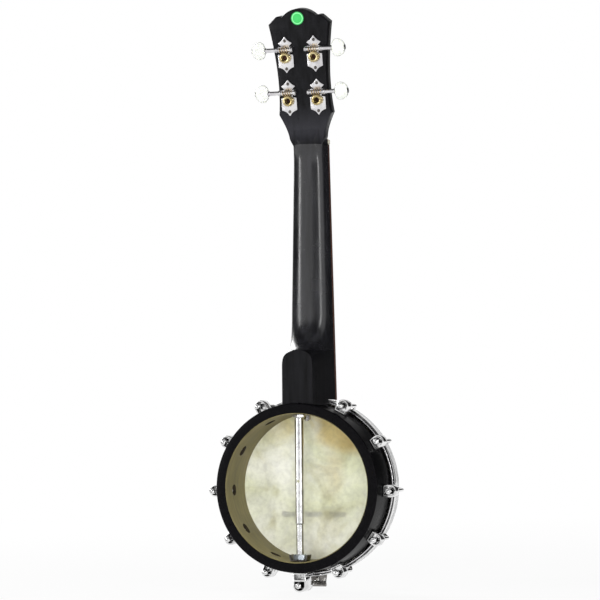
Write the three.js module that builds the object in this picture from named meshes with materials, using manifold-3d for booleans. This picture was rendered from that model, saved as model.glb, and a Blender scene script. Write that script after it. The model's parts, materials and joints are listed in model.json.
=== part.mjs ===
// Banjo ukulele: a small fretted neck with four geared tuners, joined to a round banjo pot.
// Millimetres, +Z runs up the neck, +Y faces the strings, +X is right when seen from behind.
// The origin is where the nut line crosses the middle of the neck, on the plane under the fretboard.
import * as THREE from 'three';
import { mergeVertices } from 'three/addons/utils/BufferGeometryUtils.js';
import Module from 'manifold-3d';

const wasm = await Module();
wasm.setup();

// Layout of the whole instrument
const scaleLength = 346;
const neckPlaneAboveRimBack = 56.1;

// Clearances shared by all pieces
const seatGap = 0.3;
const boreGap = 0.3;
const flatGap = 0.1;
const cutOverrun = 2;

// Facet counts
const potFacets = 48;
const rodFacets = 16;
const neckFacets = 16;
const boreFacets = 12;
const smallFacets = 8;
const tubeSides = 6;
const hexSides = 6;
const bendSteps = 3;
const outlineSegments = 5;
const roundEndSegments = 3;
const plateSegments = 2;

// Pot: the rim's back edge lies at y = 0 and its axis is the Y axis
const rim = {
  outerRadius: 77.6,
  wall: 9.7,
  depth: 52,
  innerBevel: 1.5,
  outerBevel: 1,
};
const drumhead = { thickness: 0.3, collarDepth: 7 };
const fleshHoop = { rimGap: 0.9, thickness: 2.5, start: 40.9, height: 6.6 };
const tensionHoop = { wall: 1.5, start: 40.5, height: 14.7, lipStep: 0.4, lipRimGap: 1 };

// Brackets round the rim: angles are counted from the neck
const firstBracketAngle = THREE.MathUtils.degToRad(28.1);
const bracketSpacing = THREE.MathUtils.degToRad(32);
const bracketsPerSide = 5;
const shoe = {
  mouth: 17,
  depth: 12.5,
  halfWidth: 5.75,
  reach: 7.3,
  wall: 1.35,
  frontTaper: 1.4,
  taperDepth: 3,
};
const tailBracket = { mouth: 7.4, depth: 22, halfWidth: 6.2, reach: 11.9, crossWallReach: 6.9 };
const bolt = {
  height: 22,
  radius: 2.1,
  headRadius: 4,
  headCrownShare: 0.6,
  headThickness: 2.6,
  counterboreRadius: 4.75,
  counterbore: 3.5,
};
const hook = {
  radius: 1.8,
  bendRadius: 2.6,
  clawInset: 0.3,
  clawDepth: 3.6,
  nutRadius: 3,
  nutBevel: 0.6,
  nutStart: 8.1,
  tailNutStart: 3,
  tailReach: 11,
};

// Tailpiece: a stamped plate over the tension hoop
const tailpiece = {
  halfWidth: 11,
  thickness: 1.5,
  plateLength: 26,
  lipLength: 1.6,
  lipRise: 4,
  rampLength: 3,
  bendReach: 6.4,
  bendLength: 4,
  bendDrop: 2.2,
  endLength: 3.5,
  barRadius: 1.75,
  holeShare: 0.625,
  holeLength: 2.6,
  holeMargin: 0.45,
  notchDepth: 1.5,
};

// Coordinator rod between heel and tail
const rod = {
  height: 11,
  sleeveRadius: 4.05,
  sleeveWallGap: 3.5,
  sleeveShare: 0.4875,
  pinHole: { radius: 1.5, height: 6 },
  adjusterRadius: 3.45,
  adjusterWallGap: 5.9,
  studRadius: 2.4,
  studReach: 8,
  tipRadius: 1.9,
};
const neckNut = { acrossFlats: 10.8, thickness: 2.7, wallGap: 0.5 };
const tailNut = { acrossFlats: 9.4, thickness: 3.6 };
const saddle = { halfWidth: 9, footHalfWidth: 7.6, height: 6, thickness: 1, depth: 12, wallGap: 0.7 };
const heelStud = {
  height: 35,
  radius: 2,
  washerRadius: 4.5,
  washerThickness: 1,
  nutAcrossFlats: 6,
  nutThickness: 4.2,
};
const studDepthInHeel = 12;

// Neck, heel and fretboard
const neck = {
  halfWidthAtNut: 16,
  halfWidthAtRim: 21.2,
  depthAtNut: 15.1,
  depthAtHeel: 17.8,
  fullness: 2.5,
};
const volute = { rise: 5, apexBelowNut: 1, creaseAboveNut: 13.6, length: 30 };
const voluteShares = [
  { along: 0, rise: 0 },
  { along: 0.4, rise: 0.08 },
  { along: 0.65, rise: 0.28 },
  { along: 0.85, rise: 0.66 },
  { along: 1, rise: 1 },
  { along: 1.5, rise: 1.35 },
];
const heel = { back: 49.6, halfWidth: 14.6, length: 49.1, throat: 35, arch: 12 };
const coveShares = [0, 0.3, 0.55, 0.75, 0.88, 0.96, 1];
const crownShares = [
  { drop: 0.06, depth: 1.025, fullness: 3 },
  { drop: 0.2, depth: 1.1, fullness: 3.4 },
  { drop: 0.5, depth: 1.3, fullness: 4.2 },
  { drop: 1, depth: 1.6, fullness: 6 },
];
const fretboard = { thickness: 5, frets: 17, fretHeight: 0.8, fretHalfWidth: 1, hoopGap: 0.4 };
const nut = { length: 4.6, height: 6.7, slotMargin: 0.3 };

// Headstock: its own frame stands on the back plane, below the volute's crease
const headstock = {
  tilt: THREE.MathUtils.degToRad(12.25),
  backAtNut: 13.7,
  halfWidth: 29.2,
  length: 125.8,
  wood: 11.4,
  face: 1.6,
};
const headstockShares = {
  start: [0.428, -0.032],
  steps: [
    { control: [0.52, 0], to: [0.575, 0.037] },
    { control: [0.603, 0.107], to: [0.866, 0.219] },
    { control: [0.695, 0.493], to: [1, 0.893] },
    { to: [0.74, 0.947] },
    { control: [0.64, 0.954], to: [0.555, 0.942] },
    { control: [0.3, 1], to: [0, 1] },
  ],
};

// Open-geared tuners: the tuner frame is centred on the post, on the headstock's back
const tuner = {
  halfSpacing: 14.1,
  rows: { lower: 41, upper: 81.2 },
  plateThickness: 1.1,
  plateTop: 19.3,
  plateBottom: -14.2,
  plateHalfWidth: 7.4,
  earInset: 6.4,
  earThickness: 1,
  earHalfWidth: 2.6,
  earCrown: 2.4,
  screwInset: 3.7,
  screwRadius: 1.5,
  screwHeight: 0.8,
};
const plateShares = {
  start: [0, -1],
  steps: [
    { control: [0.3, -0.72], to: [1, -0.63] },
    { control: [1, -0.1], to: [1, 0.12] },
    { control: [0.93, 0.14], to: [0.55, 0.16] },
    { control: [0.515, 0.3], to: [0.515, 0.53] },
    { control: [0.66, 0.6], to: [0.9, 0.7] },
    { control: [0.38, 0.8], to: [0, 1] },
  ],
};
const worm = {
  offset: 7.5,
  height: 4.9,
  coreRadius: 1.75,
  rootShare: 0.9,
  tipRadius: 3,
  rootHalfWidth: 0.55,
  tipHalfWidth: 0.28,
  turns: 4.5,
  stepsPerTurn: 8,
  shaftRadius: 1.8,
  collarRadius: 2.5,
  collarLength: 0.8,
};
const gear = {
  teeth: 14,
  pitchRadius: 4.9,
  tipRadius: 5.4,
  rootRadius: 4.2,
  thickness: 3,
  tipHalfWidth: 0.26,
  rootHalfWidth: 0.62,
  hubRadius: 4,
  recessRadius: 2.8,
  recessDepth: 2.2,
};
const post = {
  radius: 3,
  reach: 11.5,
  waistRadius: 2.7,
  waistStart: 2.8,
  waistEnd: 8.6,
  tipBevel: 0.8,
  holeRadius: 0.9,
};
const button = {
  centre: 38.7,
  length: 12,
  halfHeight: 8.35,
  halfThickness: 3.5,
  fullness: 2.4,
  capThickness: 0.5,
  capRadius: 2.5,
};
const buttonShares = [
  { along: 0, height: 0.56, thickness: 0.6 },
  { along: 0.1, height: 0.82, thickness: 0.8 },
  { along: 0.3, height: 0.98, thickness: 0.97 },
  { along: 0.5, height: 1, thickness: 1 },
  { along: 0.72, height: 0.9, thickness: 0.9 },
  { along: 0.9, height: 0.68, thickness: 0.7 },
  { along: 1, height: 0.5, thickness: 0.56 },
];

// Bridge on the drumhead and the four strings
const bridge = {
  belowCentre: 26,
  halfWidth: 31.3,
  height: 14.6,
  footThickness: 5.5,
  topThickness: 2,
  slotMargin: 0.3,
};
const bridgeShares = {
  start: [0, 0],
  steps: [
    { to: [0.256, 0] },
    { control: [0.27, 0.4], to: [0.372, 0.42] },
    { control: [0.475, 0.4], to: [0.489, 0] },
    { to: [1, 0] },
    { control: [0.99, 0.32], to: [0.86, 0.62] },
    { control: [0.78, 0.8], to: [0.75, 1] },
    { to: [0, 1] },
  ],
};
const strings = [
  { name: 'string_a', diameter: 0.62, side: -1, row: 'lower', spread: 3 },
  { name: 'string_e', diameter: 0.72, side: -1, row: 'upper', spread: 1 },
  { name: 'string_c', diameter: 0.9, side: 1, row: 'upper', spread: 1 },
  { name: 'string_g', diameter: 0.66, side: 1, row: 'lower', spread: 3 },
];
const stringSpread = { nut: 4.6, bridge: 6.8, tail: 3.1 };
const winding = { turns: 2.25, stepsPerTurn: 16, sides: 5, gap: 0.5, start: 3.4 };
const knotRadius = 1;

// Sizes that follow from the ones above
const nutAbovePot = scaleLength - bridge.belowCentre;
const rimInnerRadius = rim.outerRadius - rim.wall;
const fleshHoopRadius = rim.outerRadius + fleshHoop.rimGap;
const hoopLipRadius = rim.outerRadius + tensionHoop.lipRimGap;
const shoeCentre = rim.outerRadius + shoe.reach;
const tailBracketCentre = rim.outerRadius + tailBracket.reach;
const tailCrossWall = rim.outerRadius + tailBracket.crossWallReach;
const tailBend = rim.outerRadius + tailpiece.bendReach;
const tailLip = tailBend - tailpiece.plateLength;
const tailBar = tailBend + tailpiece.bendLength + tailpiece.endLength;
const tailHoles = tailBend + tailpiece.bendLength * tailpiece.holeShare;
const sleeveTop = rimInnerRadius - rod.sleeveWallGap;
const sleeveBottom = -rimInnerRadius * rod.sleeveShare;
const adjusterBottom = -(rimInnerRadius - rod.adjusterWallGap);
const headBack = rim.depth + flatGap;
const headFront = headBack + drumhead.thickness;
const hoopOuterRadius = fleshHoopRadius + fleshHoop.thickness + seatGap + tensionHoop.wall;
const hoopFront = tensionHoop.start + tensionHoop.height;
const hoopRecessStart = tensionHoop.start - seatGap;
const hoopRecessRadius = hoopOuterRadius + fretboard.hoopGap;
const neckSeatRadius = rim.outerRadius + seatGap;
const neckLength = nutAbovePot - rim.outerRadius;
const heelTop = neckLength - heel.length;
const tailPlateBack = hoopFront + seatGap;
const tailPlateFront = tailPlateBack + tailpiece.thickness;
const headstockFront = headstock.wood + seatGap + headstock.face;

// Colours and finishes
const finishes = {
  blackWood: { color: 0x17171a, roughness: 0.5, metalness: 0 },
  rosewood: { color: 0x3a241a, roughness: 0.6, metalness: 0 },
  rimWood: { color: 0x1a1917, roughness: 0.55, metalness: 0 },
  parchment: { color: 0xd8d2b0, roughness: 0.6, metalness: 0 },
  chrome: { color: 0xd6d8db, roughness: 0.15, metalness: 1 },
  nickel: { color: 0xc4c4c6, roughness: 0.3, metalness: 1 },
  brass: { color: 0xb8964a, roughness: 0.3, metalness: 1 },
  pearl: { color: 0xeeeeea, roughness: 0.3, metalness: 0 },
  bone: { color: 0xe8e2d0, roughness: 0.5, metalness: 0 },
  maple: { color: 0xc9a36b, roughness: 0.6, metalness: 0 },
  nylon: { color: 0xd9d6cc, roughness: 0.35, metalness: 0 },
};

// Geometry helpers

// A closed geometry becomes a solid: shared corners merged, empty triangles left out, faces out.
function solidOf(geometry) {
  const bare = new THREE.BufferGeometry();
  bare.setAttribute('position', geometry.getAttribute('position').clone());
  if (geometry.index) {
    bare.setIndex(geometry.index.clone());
  }
  const merged = mergeVertices(bare);
  const kept = [];
  for (let i = 0; i < merged.index.count; i += 3) {
    const corners = [merged.index.getX(i), merged.index.getX(i + 1), merged.index.getX(i + 2)];
    if (new Set(corners).size === corners.length) {
      kept.push(corners);
    }
  }
  const build = (triangles) => new wasm.Manifold(new wasm.Mesh({
    numProp: 3,
    vertProperties: merged.getAttribute('position').array,
    triVerts: Uint32Array.from(triangles.flat()),
  }));
  const solid = build(kept);
  return solid.volume() > 0 ? solid : build(kept.map(([a, b, c]) => [a, c, b]));
}

function geometryOf(solid) {
  const { vertProperties, triVerts } = solid.getMesh();
  const geometry = new THREE.BufferGeometry();
  geometry.setAttribute('position', new THREE.BufferAttribute(vertProperties, 3));
  geometry.setIndex(new THREE.BufferAttribute(triVerts, 1));
  const flat = geometry.toNonIndexed();
  flat.computeVertexNormals();
  return flat;
}

function node(name, solid, finish) {
  const mesh = new THREE.Mesh(geometryOf(solid), new THREE.MeshStandardMaterial(finishes[finish]));
  mesh.name = name;
  return mesh;
}

function joined(solids) {
  return solids.reduce((sum, next) => sum.add(next));
}

// A profile of [radius, y] points turned about the Y axis.
function turned(profile, facets) {
  return new THREE.LatheGeometry(profile.map(([r, y]) => new THREE.Vector2(r, y)), facets);
}

function turnedRing(profile, facets) {
  return turned([...profile, profile[0]], facets);
}

// A plain rod of one radius between two heights on the Y axis.
function rodAlongY(radius, from, to, facets) {
  return turned([[0, from], [radius, from], [radius, to], [0, to]], facets);
}

function rodAlongX(radius, from, to, facets) {
  return rodAlongY(radius, from, to, facets).rotateZ(-Math.PI / 2);
}

function rodAlongZ(radius, from, to, facets) {
  return rodAlongY(radius, from, to, facets).rotateX(Math.PI / 2);
}

function hexAlongZ(acrossFlats, from, to) {
  return rodAlongZ(acrossFlats / Math.sqrt(3), from, to, hexSides);
}

function extruded(shape, length, curveSegments = outlineSegments) {
  return new THREE.ExtrudeGeometry(shape, { depth: length, bevelEnabled: false, curveSegments });
}

// A shape drawn in X and Z, as thick as from one Y to the other.
function plateAlongY(shape, from, to, curveSegments) {
  return extruded(shape, to - from, curveSegments).rotateX(Math.PI / 2).translate(0, to, 0);
}

// A shape drawn in Y and Z, as wide as from one X to the other.
function plateAlongX(shape, from, to) {
  const turn = new THREE.Matrix4().set(0, 0, 1, from, 1, 0, 0, 0, 0, 1, 0, 0, 0, 0, 0, 1);
  return extruded(shape, to - from).applyMatrix4(turn);
}

function box(fromX, toX, fromY, toY, fromZ, toZ) {
  const geometry = new THREE.BoxGeometry(toX - fromX, toY - fromY, toZ - fromZ);
  return geometry.translate((fromX + toX) / 2, (fromY + toY) / 2, (fromZ + toZ) / 2);
}

function polygon(points) {
  return new THREE.Shape(points.map(([x, y]) => new THREE.Vector2(x, y)));
}

// An outline drawn once for the right side, as shares of a width and a height, and mirrored.
function symmetricShape({ start, steps }, width, heightOf) {
  const at = ([x, y], side) => [side * x * width, heightOf(y)];
  const shape = new THREE.Shape();
  shape.moveTo(...at(start, 1));
  const draw = (step, to, side) => {
    if (step.control) {
      shape.quadraticCurveTo(...at(step.control, side), ...at(to, side));
    } else {
      shape.lineTo(...at(to, side));
    }
  };
  steps.forEach((step) => draw(step, step.to, 1));
  for (let i = steps.length - 1; i >= 0; i -= 1) {
    const to = i > 0 ? steps[i - 1].to : start;
    draw(steps[i], to, -1);
  }
  if (start[0] !== 0) {
    shape.closePath();
  }
  return shape;
}

// Rings of points with the same count, joined into one closed skin with flat ends.
function loft(rings) {
  const count = rings[0].length;
  const centres = [rings[0], rings[rings.length - 1]].map((ring) => (
    ring.reduce((sum, point) => sum.add(point), new THREE.Vector3()).divideScalar(count)
  ));
  const points = [...rings.flat(), ...centres];
  const triangles = [];
  for (let i = 0; i < rings.length - 1; i += 1) {
    for (let j = 0; j < count; j += 1) {
      const next = (j + 1) % count;
      const [a, b, c, d] = [i * count + j, i * count + next, (i + 1) * count + next, (i + 1) * count + j];
      triangles.push(a, b, c, a, c, d);
    }
  }
  const last = (rings.length - 1) * count;
  for (let j = 0; j < count; j += 1) {
    const next = (j + 1) % count;
    triangles.push(points.length - 2, next, j);
    triangles.push(points.length - 1, last + j, last + next);
  }
  const geometry = new THREE.BufferGeometry().setFromPoints(points);
  geometry.setIndex(triangles);
  return geometry;
}

// A route with one section at each of its chosen stations.
class Route extends THREE.Curve {
  constructor(stations) {
    super();
    this.stations = stations;
  }

  getPoint(t, target = new THREE.Vector3()) {
    const along = THREE.MathUtils.clamp(t, 0, 1) * (this.stations.length - 1);
    const index = Math.min(Math.floor(along), this.stations.length - 2);
    return target.lerpVectors(this.stations[index], this.stations[index + 1], along - index);
  }

  getPointAt(u, target) {
    return this.getPoint(u, target);
  }

  getTangentAt(u, target) {
    return this.getTangent(u, target);
  }
}

function tube(stations, radius, sides) {
  const section = new THREE.Shape();
  for (let i = 0; i < sides; i += 1) {
    const angle = (i * 2 * Math.PI) / sides;
    const [x, y] = [radius * Math.cos(angle), radius * Math.sin(angle)];
    if (i === 0) {
      section.moveTo(x, y);
    } else {
      section.lineTo(x, y);
    }
  }
  const extrudePath = new Route(stations);
  return new THREE.ExtrudeGeometry(section, { steps: stations.length - 1, extrudePath, bevelEnabled: false });
}

// A quarter bend in the plane of Y and Z, from one corner's start to its end.
function bend(centreY, centreZ, radius, fromAngle, toAngle) {
  const points = [];
  for (let i = 0; i <= bendSteps; i += 1) {
    const angle = THREE.MathUtils.lerp(fromAngle, toAngle, i / bendSteps);
    points.push(new THREE.Vector3(0, centreY + radius * Math.sin(angle), centreZ + radius * Math.cos(angle)));
  }
  return points;
}

// Pot

function boltDrill() {
  const from = rimInnerRadius - cutOverrun;
  const step = rimInnerRadius + bolt.counterbore;
  const holeRadius = bolt.radius + boreGap;
  const profile = [
    [0, from],
    [bolt.counterboreRadius, from],
    [bolt.counterboreRadius, step],
    [holeRadius, step],
    [holeRadius, rim.outerRadius + cutOverrun],
    [0, rim.outerRadius + cutOverrun],
  ];
  return turned(profile, smallFacets).rotateX(Math.PI / 2).translate(0, bolt.height, 0);
}

function bracketAngles() {
  const angles = [];
  for (let i = 0; i < bracketsPerSide; i += 1) {
    const angle = firstBracketAngle + i * bracketSpacing;
    angles.push(angle, -angle);
  }
  return angles;
}

function makeRim() {
  let solid = solidOf(turnedRing([
    [rimInnerRadius + rim.innerBevel, 0],
    [rim.outerRadius - rim.outerBevel, 0],
    [rim.outerRadius, rim.outerBevel],
    [rim.outerRadius, rim.depth],
    [rimInnerRadius, rim.depth],
    [rimInnerRadius, rim.innerBevel],
  ], potFacets));
  [...bracketAngles(), Math.PI].forEach((angle) => {
    solid = solid.subtract(solidOf(boltDrill().rotateY(angle)));
  });
  const [near, far] = [rimInnerRadius - cutOverrun, rim.outerRadius + cutOverrun];
  const studs = [
    rodAlongZ(rod.studRadius + boreGap, near, far, smallFacets).translate(0, rod.height, 0),
    rodAlongZ(heelStud.radius + boreGap, near, far, smallFacets).translate(0, heelStud.height, 0),
    rodAlongZ(rod.tipRadius + boreGap, -far, -near, smallFacets).translate(0, rod.height, 0),
  ];
  return studs.reduce((sum, stud) => sum.subtract(solidOf(stud)), solid);
}

function makeDrumhead() {
  const outer = rim.outerRadius + seatGap + drumhead.thickness;
  return solidOf(rodAlongY(outer, headBack, headFront, potFacets));
}

// The membrane's turned-down edge, from the flesh hoop up to the flat skin.
function makeDrumheadCollar() {
  const inner = rim.outerRadius + seatGap;
  const outer = inner + drumhead.thickness;
  const back = headBack - drumhead.collarDepth;
  return solidOf(turnedRing([[inner, back], [outer, back], [outer, headBack], [inner, headBack]], potFacets));
}

function makeFleshHoop() {
  const { thickness, start, height } = fleshHoop;
  return solidOf(turnedRing([
    [fleshHoopRadius, start],
    [fleshHoopRadius + thickness, start],
    [fleshHoopRadius + thickness, start + height],
    [fleshHoopRadius, start + height],
  ], potFacets));
}

function makeTensionHoop() {
  const { start, lipStep, wall } = tensionHoop;
  const lipBack = fleshHoop.start + fleshHoop.height + seatGap;
  const lipOuter = hoopOuterRadius - lipStep;
  return solidOf(turnedRing([
    [hoopOuterRadius - wall, start],
    [hoopOuterRadius, start],
    [hoopOuterRadius, lipBack],
    [lipOuter, lipBack],
    [lipOuter, hoopFront],
    [hoopLipRadius, hoopFront],
    [hoopLipRadius, lipBack],
    [hoopOuterRadius - wall, lipBack],
  ], potFacets));
}

// The outline of a bracket seen from behind: flat at the rim, round at the hook.
function bracketOutline(inset, foot, centre, halfWidth) {
  const shape = new THREE.Shape();
  const radius = halfWidth - inset;
  shape.moveTo(radius, foot);
  shape.lineTo(radius, centre);
  shape.absarc(0, centre, radius, 0, Math.PI, false);
  shape.lineTo(-radius, foot);
  shape.closePath();
  return shape;
}

function boltInBracket(foot) {
  const headTop = rimInnerRadius + bolt.counterbore - seatGap;
  const headBottom = headTop - bolt.headThickness;
  const profile = [
    [0, headBottom],
    [bolt.headRadius * bolt.headCrownShare, headBottom],
    [bolt.headRadius, headBottom + bolt.headThickness / 2],
    [bolt.headRadius, headTop],
    [bolt.radius, headTop],
    [bolt.radius, foot + flatGap],
    [0, foot + flatGap],
  ];
  return turned(profile, smallFacets).rotateX(Math.PI / 2).translate(0, bolt.height, 0);
}

function makeShoe() {
  const foot = rim.outerRadius + seatGap;
  const front = shoe.mouth + shoe.depth;
  const outline = bracketOutline(0, foot, shoeCentre, shoe.halfWidth);
  let solid = solidOf(plateAlongY(outline, shoe.mouth, front, roundEndSegments));
  const cavity = bracketOutline(shoe.wall, foot + shoe.wall, shoeCentre, shoe.halfWidth);
  const [cavityBack, cavityFront] = [shoe.mouth - cutOverrun, front - shoe.wall];
  solid = solid.subtract(solidOf(plateAlongY(cavity, cavityBack, cavityFront, roundEndSegments)));
  const [outerReach, taperStart] = [shoeCentre + shoe.halfWidth, front - shoe.taperDepth];
  const taper = polygon([
    [taperStart, outerReach],
    [front, outerReach - shoe.frontTaper],
    [front + cutOverrun, outerReach - shoe.frontTaper],
    [front + cutOverrun, outerReach + cutOverrun],
    [taperStart, outerReach + cutOverrun],
  ]);
  const reach = shoe.halfWidth + cutOverrun;
  solid = solid.subtract(solidOf(plateAlongX(taper, -reach, reach)));
  const hookHole = rodAlongY(hook.radius + boreGap, cavityFront - cutOverrun, front + cutOverrun, smallFacets);
  solid = solid.subtract(solidOf(hookHole.translate(0, 0, shoeCentre)));
  return solid.add(solidOf(boltInBracket(foot)));
}

function makeTailBracket() {
  const { mouth, depth, halfWidth } = tailBracket;
  const foot = rim.outerRadius + seatGap;
  const front = mouth + depth;
  const [cavityBack, cavityFront] = [mouth - cutOverrun, front - shoe.wall];
  const outline = bracketOutline(0, foot, tailBracketCentre, halfWidth);
  let solid = solidOf(plateAlongY(outline, mouth, front, roundEndSegments));
  const cup = bracketOutline(shoe.wall, tailCrossWall + shoe.wall, tailBracketCentre, halfWidth);
  solid = solid.subtract(solidOf(plateAlongY(cup, cavityBack, cavityFront, roundEndSegments)));
  const inner = halfWidth - shoe.wall;
  const cell = box(-inner, inner, cavityBack, cavityFront, foot + shoe.wall, tailCrossWall);
  solid = solid.subtract(solidOf(cell));
  const hookHole = rodAlongY(hook.radius + boreGap, cavityFront - cutOverrun, front + cutOverrun, smallFacets);
  solid = solid.subtract(solidOf(hookHole.translate(0, 0, tailBracketCentre)));
  const tip = rodAlongZ(rod.tipRadius + boreGap, foot - cutOverrun, foot + shoe.wall + cutOverrun, smallFacets);
  solid = solid.subtract(solidOf(tip.translate(0, rod.height, 0)));
  return solid.add(solidOf(boltInBracket(foot)));
}

function hookNut(start, end, centre) {
  const { nutRadius, nutBevel } = hook;
  const profile = [
    [0, start],
    [nutRadius - nutBevel, start],
    [nutRadius, start + nutBevel],
    [nutRadius, end],
    [0, end],
  ];
  return turned(profile, hexSides).translate(0, 0, centre);
}

// The J hook: up from its nut, over the hoop's front edge and down again behind it.
function makeHook() {
  const { radius, bendRadius, clawInset, clawDepth, nutStart } = hook;
  const top = hoopFront + seatGap + radius;
  const claw = hoopLipRadius - clawInset - radius;
  const stations = [
    new THREE.Vector3(0, nutStart - flatGap, shoeCentre),
    ...bend(top - bendRadius, shoeCentre - bendRadius, bendRadius, 0, Math.PI / 2),
    ...bend(top - radius, claw + radius, radius, Math.PI / 2, Math.PI),
    new THREE.Vector3(0, top - clawDepth, claw),
  ];
  const nutEnd = shoe.mouth + shoe.depth - shoe.wall - seatGap;
  return joined([
    solidOf(tube(stations, radius, tubeSides)),
    solidOf(hookNut(nutStart, nutEnd, shoeCentre)),
  ]);
}

// The tail hook holds the tailpiece down on the hoop.
function makeTailHook() {
  const { radius, bendRadius, tailNutStart, tailReach } = hook;
  const top = tailPlateFront + seatGap + radius;
  const stations = [
    new THREE.Vector3(0, tailNutStart - flatGap, tailBracketCentre),
    ...bend(top - bendRadius, tailBracketCentre - bendRadius, bendRadius, 0, Math.PI / 2),
    new THREE.Vector3(0, top, tailBracketCentre - tailReach),
  ];
  const nutEnd = tailBracket.mouth + tailBracket.depth - shoe.wall - seatGap;
  return joined([
    solidOf(tube(stations, radius, tubeSides)),
    solidOf(hookNut(tailNutStart, nutEnd, tailBracketCentre)),
  ]);
}

function tailpieceProfile() {
  const { thickness, lipLength, lipRise, rampLength, bendLength, bendDrop } = tailpiece;
  const route = [
    [tailPlateFront + lipRise, tailLip],
    [tailPlateFront + lipRise, tailLip + lipLength],
    [tailPlateFront, tailLip + lipLength + rampLength],
    [tailPlateFront, tailBend],
    [tailPlateFront - bendDrop, tailBend + bendLength],
    [tailPlateFront - bendDrop, tailBar],
  ];
  const back = route.map(([y, z]) => [y - thickness, z]).reverse();
  return polygon([...route, ...back]);
}

// Drawn with its length along +Z: the whole piece is turned to the tail afterwards.
function makeTailpiece() {
  const { halfWidth, thickness, barRadius, bendDrop, lipLength, lipRise, notchDepth } = tailpiece;
  const { holeLength, holeMargin } = tailpiece;
  const barY = tailPlateFront - bendDrop - thickness / 2;
  let solid = joined([
    solidOf(plateAlongX(tailpieceProfile(), -halfWidth, halfWidth)),
    solidOf(rodAlongX(barRadius, -halfWidth, halfWidth, boreFacets).translate(0, barY, tailBar)),
  ]);
  const [low, high] = [tailPlateBack - bendDrop - cutOverrun, tailPlateFront + cutOverrun];
  strings.forEach(({ diameter, side, spread }) => {
    const x = -side * spread * stringSpread.tail;
    const half = diameter / 2 + holeMargin;
    const hole = box(x - half, x + half, low, high, tailHoles - holeLength / 2, tailHoles + holeLength / 2);
    const lipTop = tailPlateFront + lipRise;
    const [notchFrom, notchTo] = [tailLip - cutOverrun, tailLip + lipLength + cutOverrun];
    const notch = box(x - half, x + half, lipTop - notchDepth, lipTop + cutOverrun, notchFrom, notchTo);
    solid = solid.subtract(solidOf(hole)).subtract(solidOf(notch));
  });
  const hookHole = rodAlongY(hook.radius + boreGap, low - cutOverrun, high + cutOverrun, boreFacets);
  return solid.subtract(solidOf(hookHole.translate(0, 0, tailBracketCentre)));
}

// Coordinator rod and heel stud

function makeSleeve() {
  const { sleeveRadius, studRadius, studReach, pinHole } = rod;
  const bore = studRadius + boreGap;
  const depth = studReach + seatGap;
  return solidOf(rodAlongZ(sleeveRadius, sleeveBottom, sleeveTop, rodFacets))
    .subtract(solidOf(rodAlongZ(bore, sleeveTop - depth, sleeveTop + cutOverrun, boreFacets)))
    .subtract(solidOf(rodAlongZ(bore, sleeveBottom - cutOverrun, sleeveBottom + depth, boreFacets)))
    .subtract(solidOf(rodAlongY(pinHole.radius, -sleeveRadius * 2, sleeveRadius * 2, smallFacets)
      .translate(0, 0, pinHole.height)));
}

function makeAdjuster() {
  const { adjusterRadius, studRadius, studReach, tipRadius } = rod;
  const shoulder = sleeveBottom - seatGap;
  const tipStart = -(rimInnerRadius - saddle.wallGap - saddle.thickness - seatGap);
  const profile = [
    [0, -(rim.outerRadius + seatGap + shoe.wall)],
    [tipRadius, -(rim.outerRadius + seatGap + shoe.wall)],
    [tipRadius, tipStart],
    [studRadius, tipStart],
    [studRadius, adjusterBottom],
    [adjusterRadius, adjusterBottom],
    [adjusterRadius, shoulder],
    [studRadius, shoulder],
    [studRadius, shoulder + studReach],
    [0, shoulder + studReach],
  ];
  return solidOf(turned(profile, boreFacets).rotateX(Math.PI / 2));
}

function makeNeckNut() {
  const { acrossFlats, thickness, wallGap } = neckNut;
  const top = rimInnerRadius - wallGap;
  const studBottom = sleeveTop - rod.studReach;
  const stud = rodAlongZ(rod.studRadius, studBottom, neckSeatRadius + studDepthInHeel, boreFacets);
  return joined([
    solidOf(stud),
    solidOf(hexAlongZ(acrossFlats, top - thickness, top)),
  ]);
}

function makeTailNut() {
  const plate = -(rimInnerRadius - saddle.wallGap - saddle.thickness);
  const bottom = plate + flatGap;
  const top = bottom + tailNut.thickness;
  const bore = rodAlongZ(rod.studRadius + boreGap, bottom - cutOverrun, top + cutOverrun, boreFacets);
  return solidOf(hexAlongZ(tailNut.acrossFlats, bottom, top)).subtract(solidOf(bore));
}

// The U plate between the tail nut and the rim's inner wall.
function makeSaddle() {
  const { halfWidth, footHalfWidth, height, thickness, depth, wallGap } = saddle;
  const foot = -(rimInnerRadius - wallGap);
  const right = [
    [footHalfWidth, foot],
    [halfWidth, foot + height],
    [halfWidth - thickness, foot + height],
    [footHalfWidth - thickness, foot + thickness],
  ];
  const left = right.map(([x, z]) => [-x, z]).reverse();
  const body = plateAlongY(polygon([...right, ...left]), rod.height - depth / 2, rod.height + depth / 2);
  const hole = rodAlongZ(rod.studRadius + boreGap, foot - cutOverrun, foot + thickness + cutOverrun, boreFacets);
  return solidOf(body).subtract(solidOf(hole.translate(0, rod.height, 0)));
}

function makeHeelStud() {
  const { radius, washerRadius, washerThickness, nutAcrossFlats, nutThickness } = heelStud;
  const washerTop = rimInnerRadius - neckNut.wallGap;
  const nutTop = washerTop - washerThickness;
  const studBottom = nutTop - nutThickness - radius / 2;
  return joined([
    solidOf(rodAlongZ(radius, studBottom, neckSeatRadius + studDepthInHeel, boreFacets)),
    solidOf(rodAlongZ(washerRadius, nutTop, washerTop, boreFacets)),
    solidOf(hexAlongZ(nutAcrossFlats, nutTop - nutThickness, nutTop)),
  ]);
}

// Bridge

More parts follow.
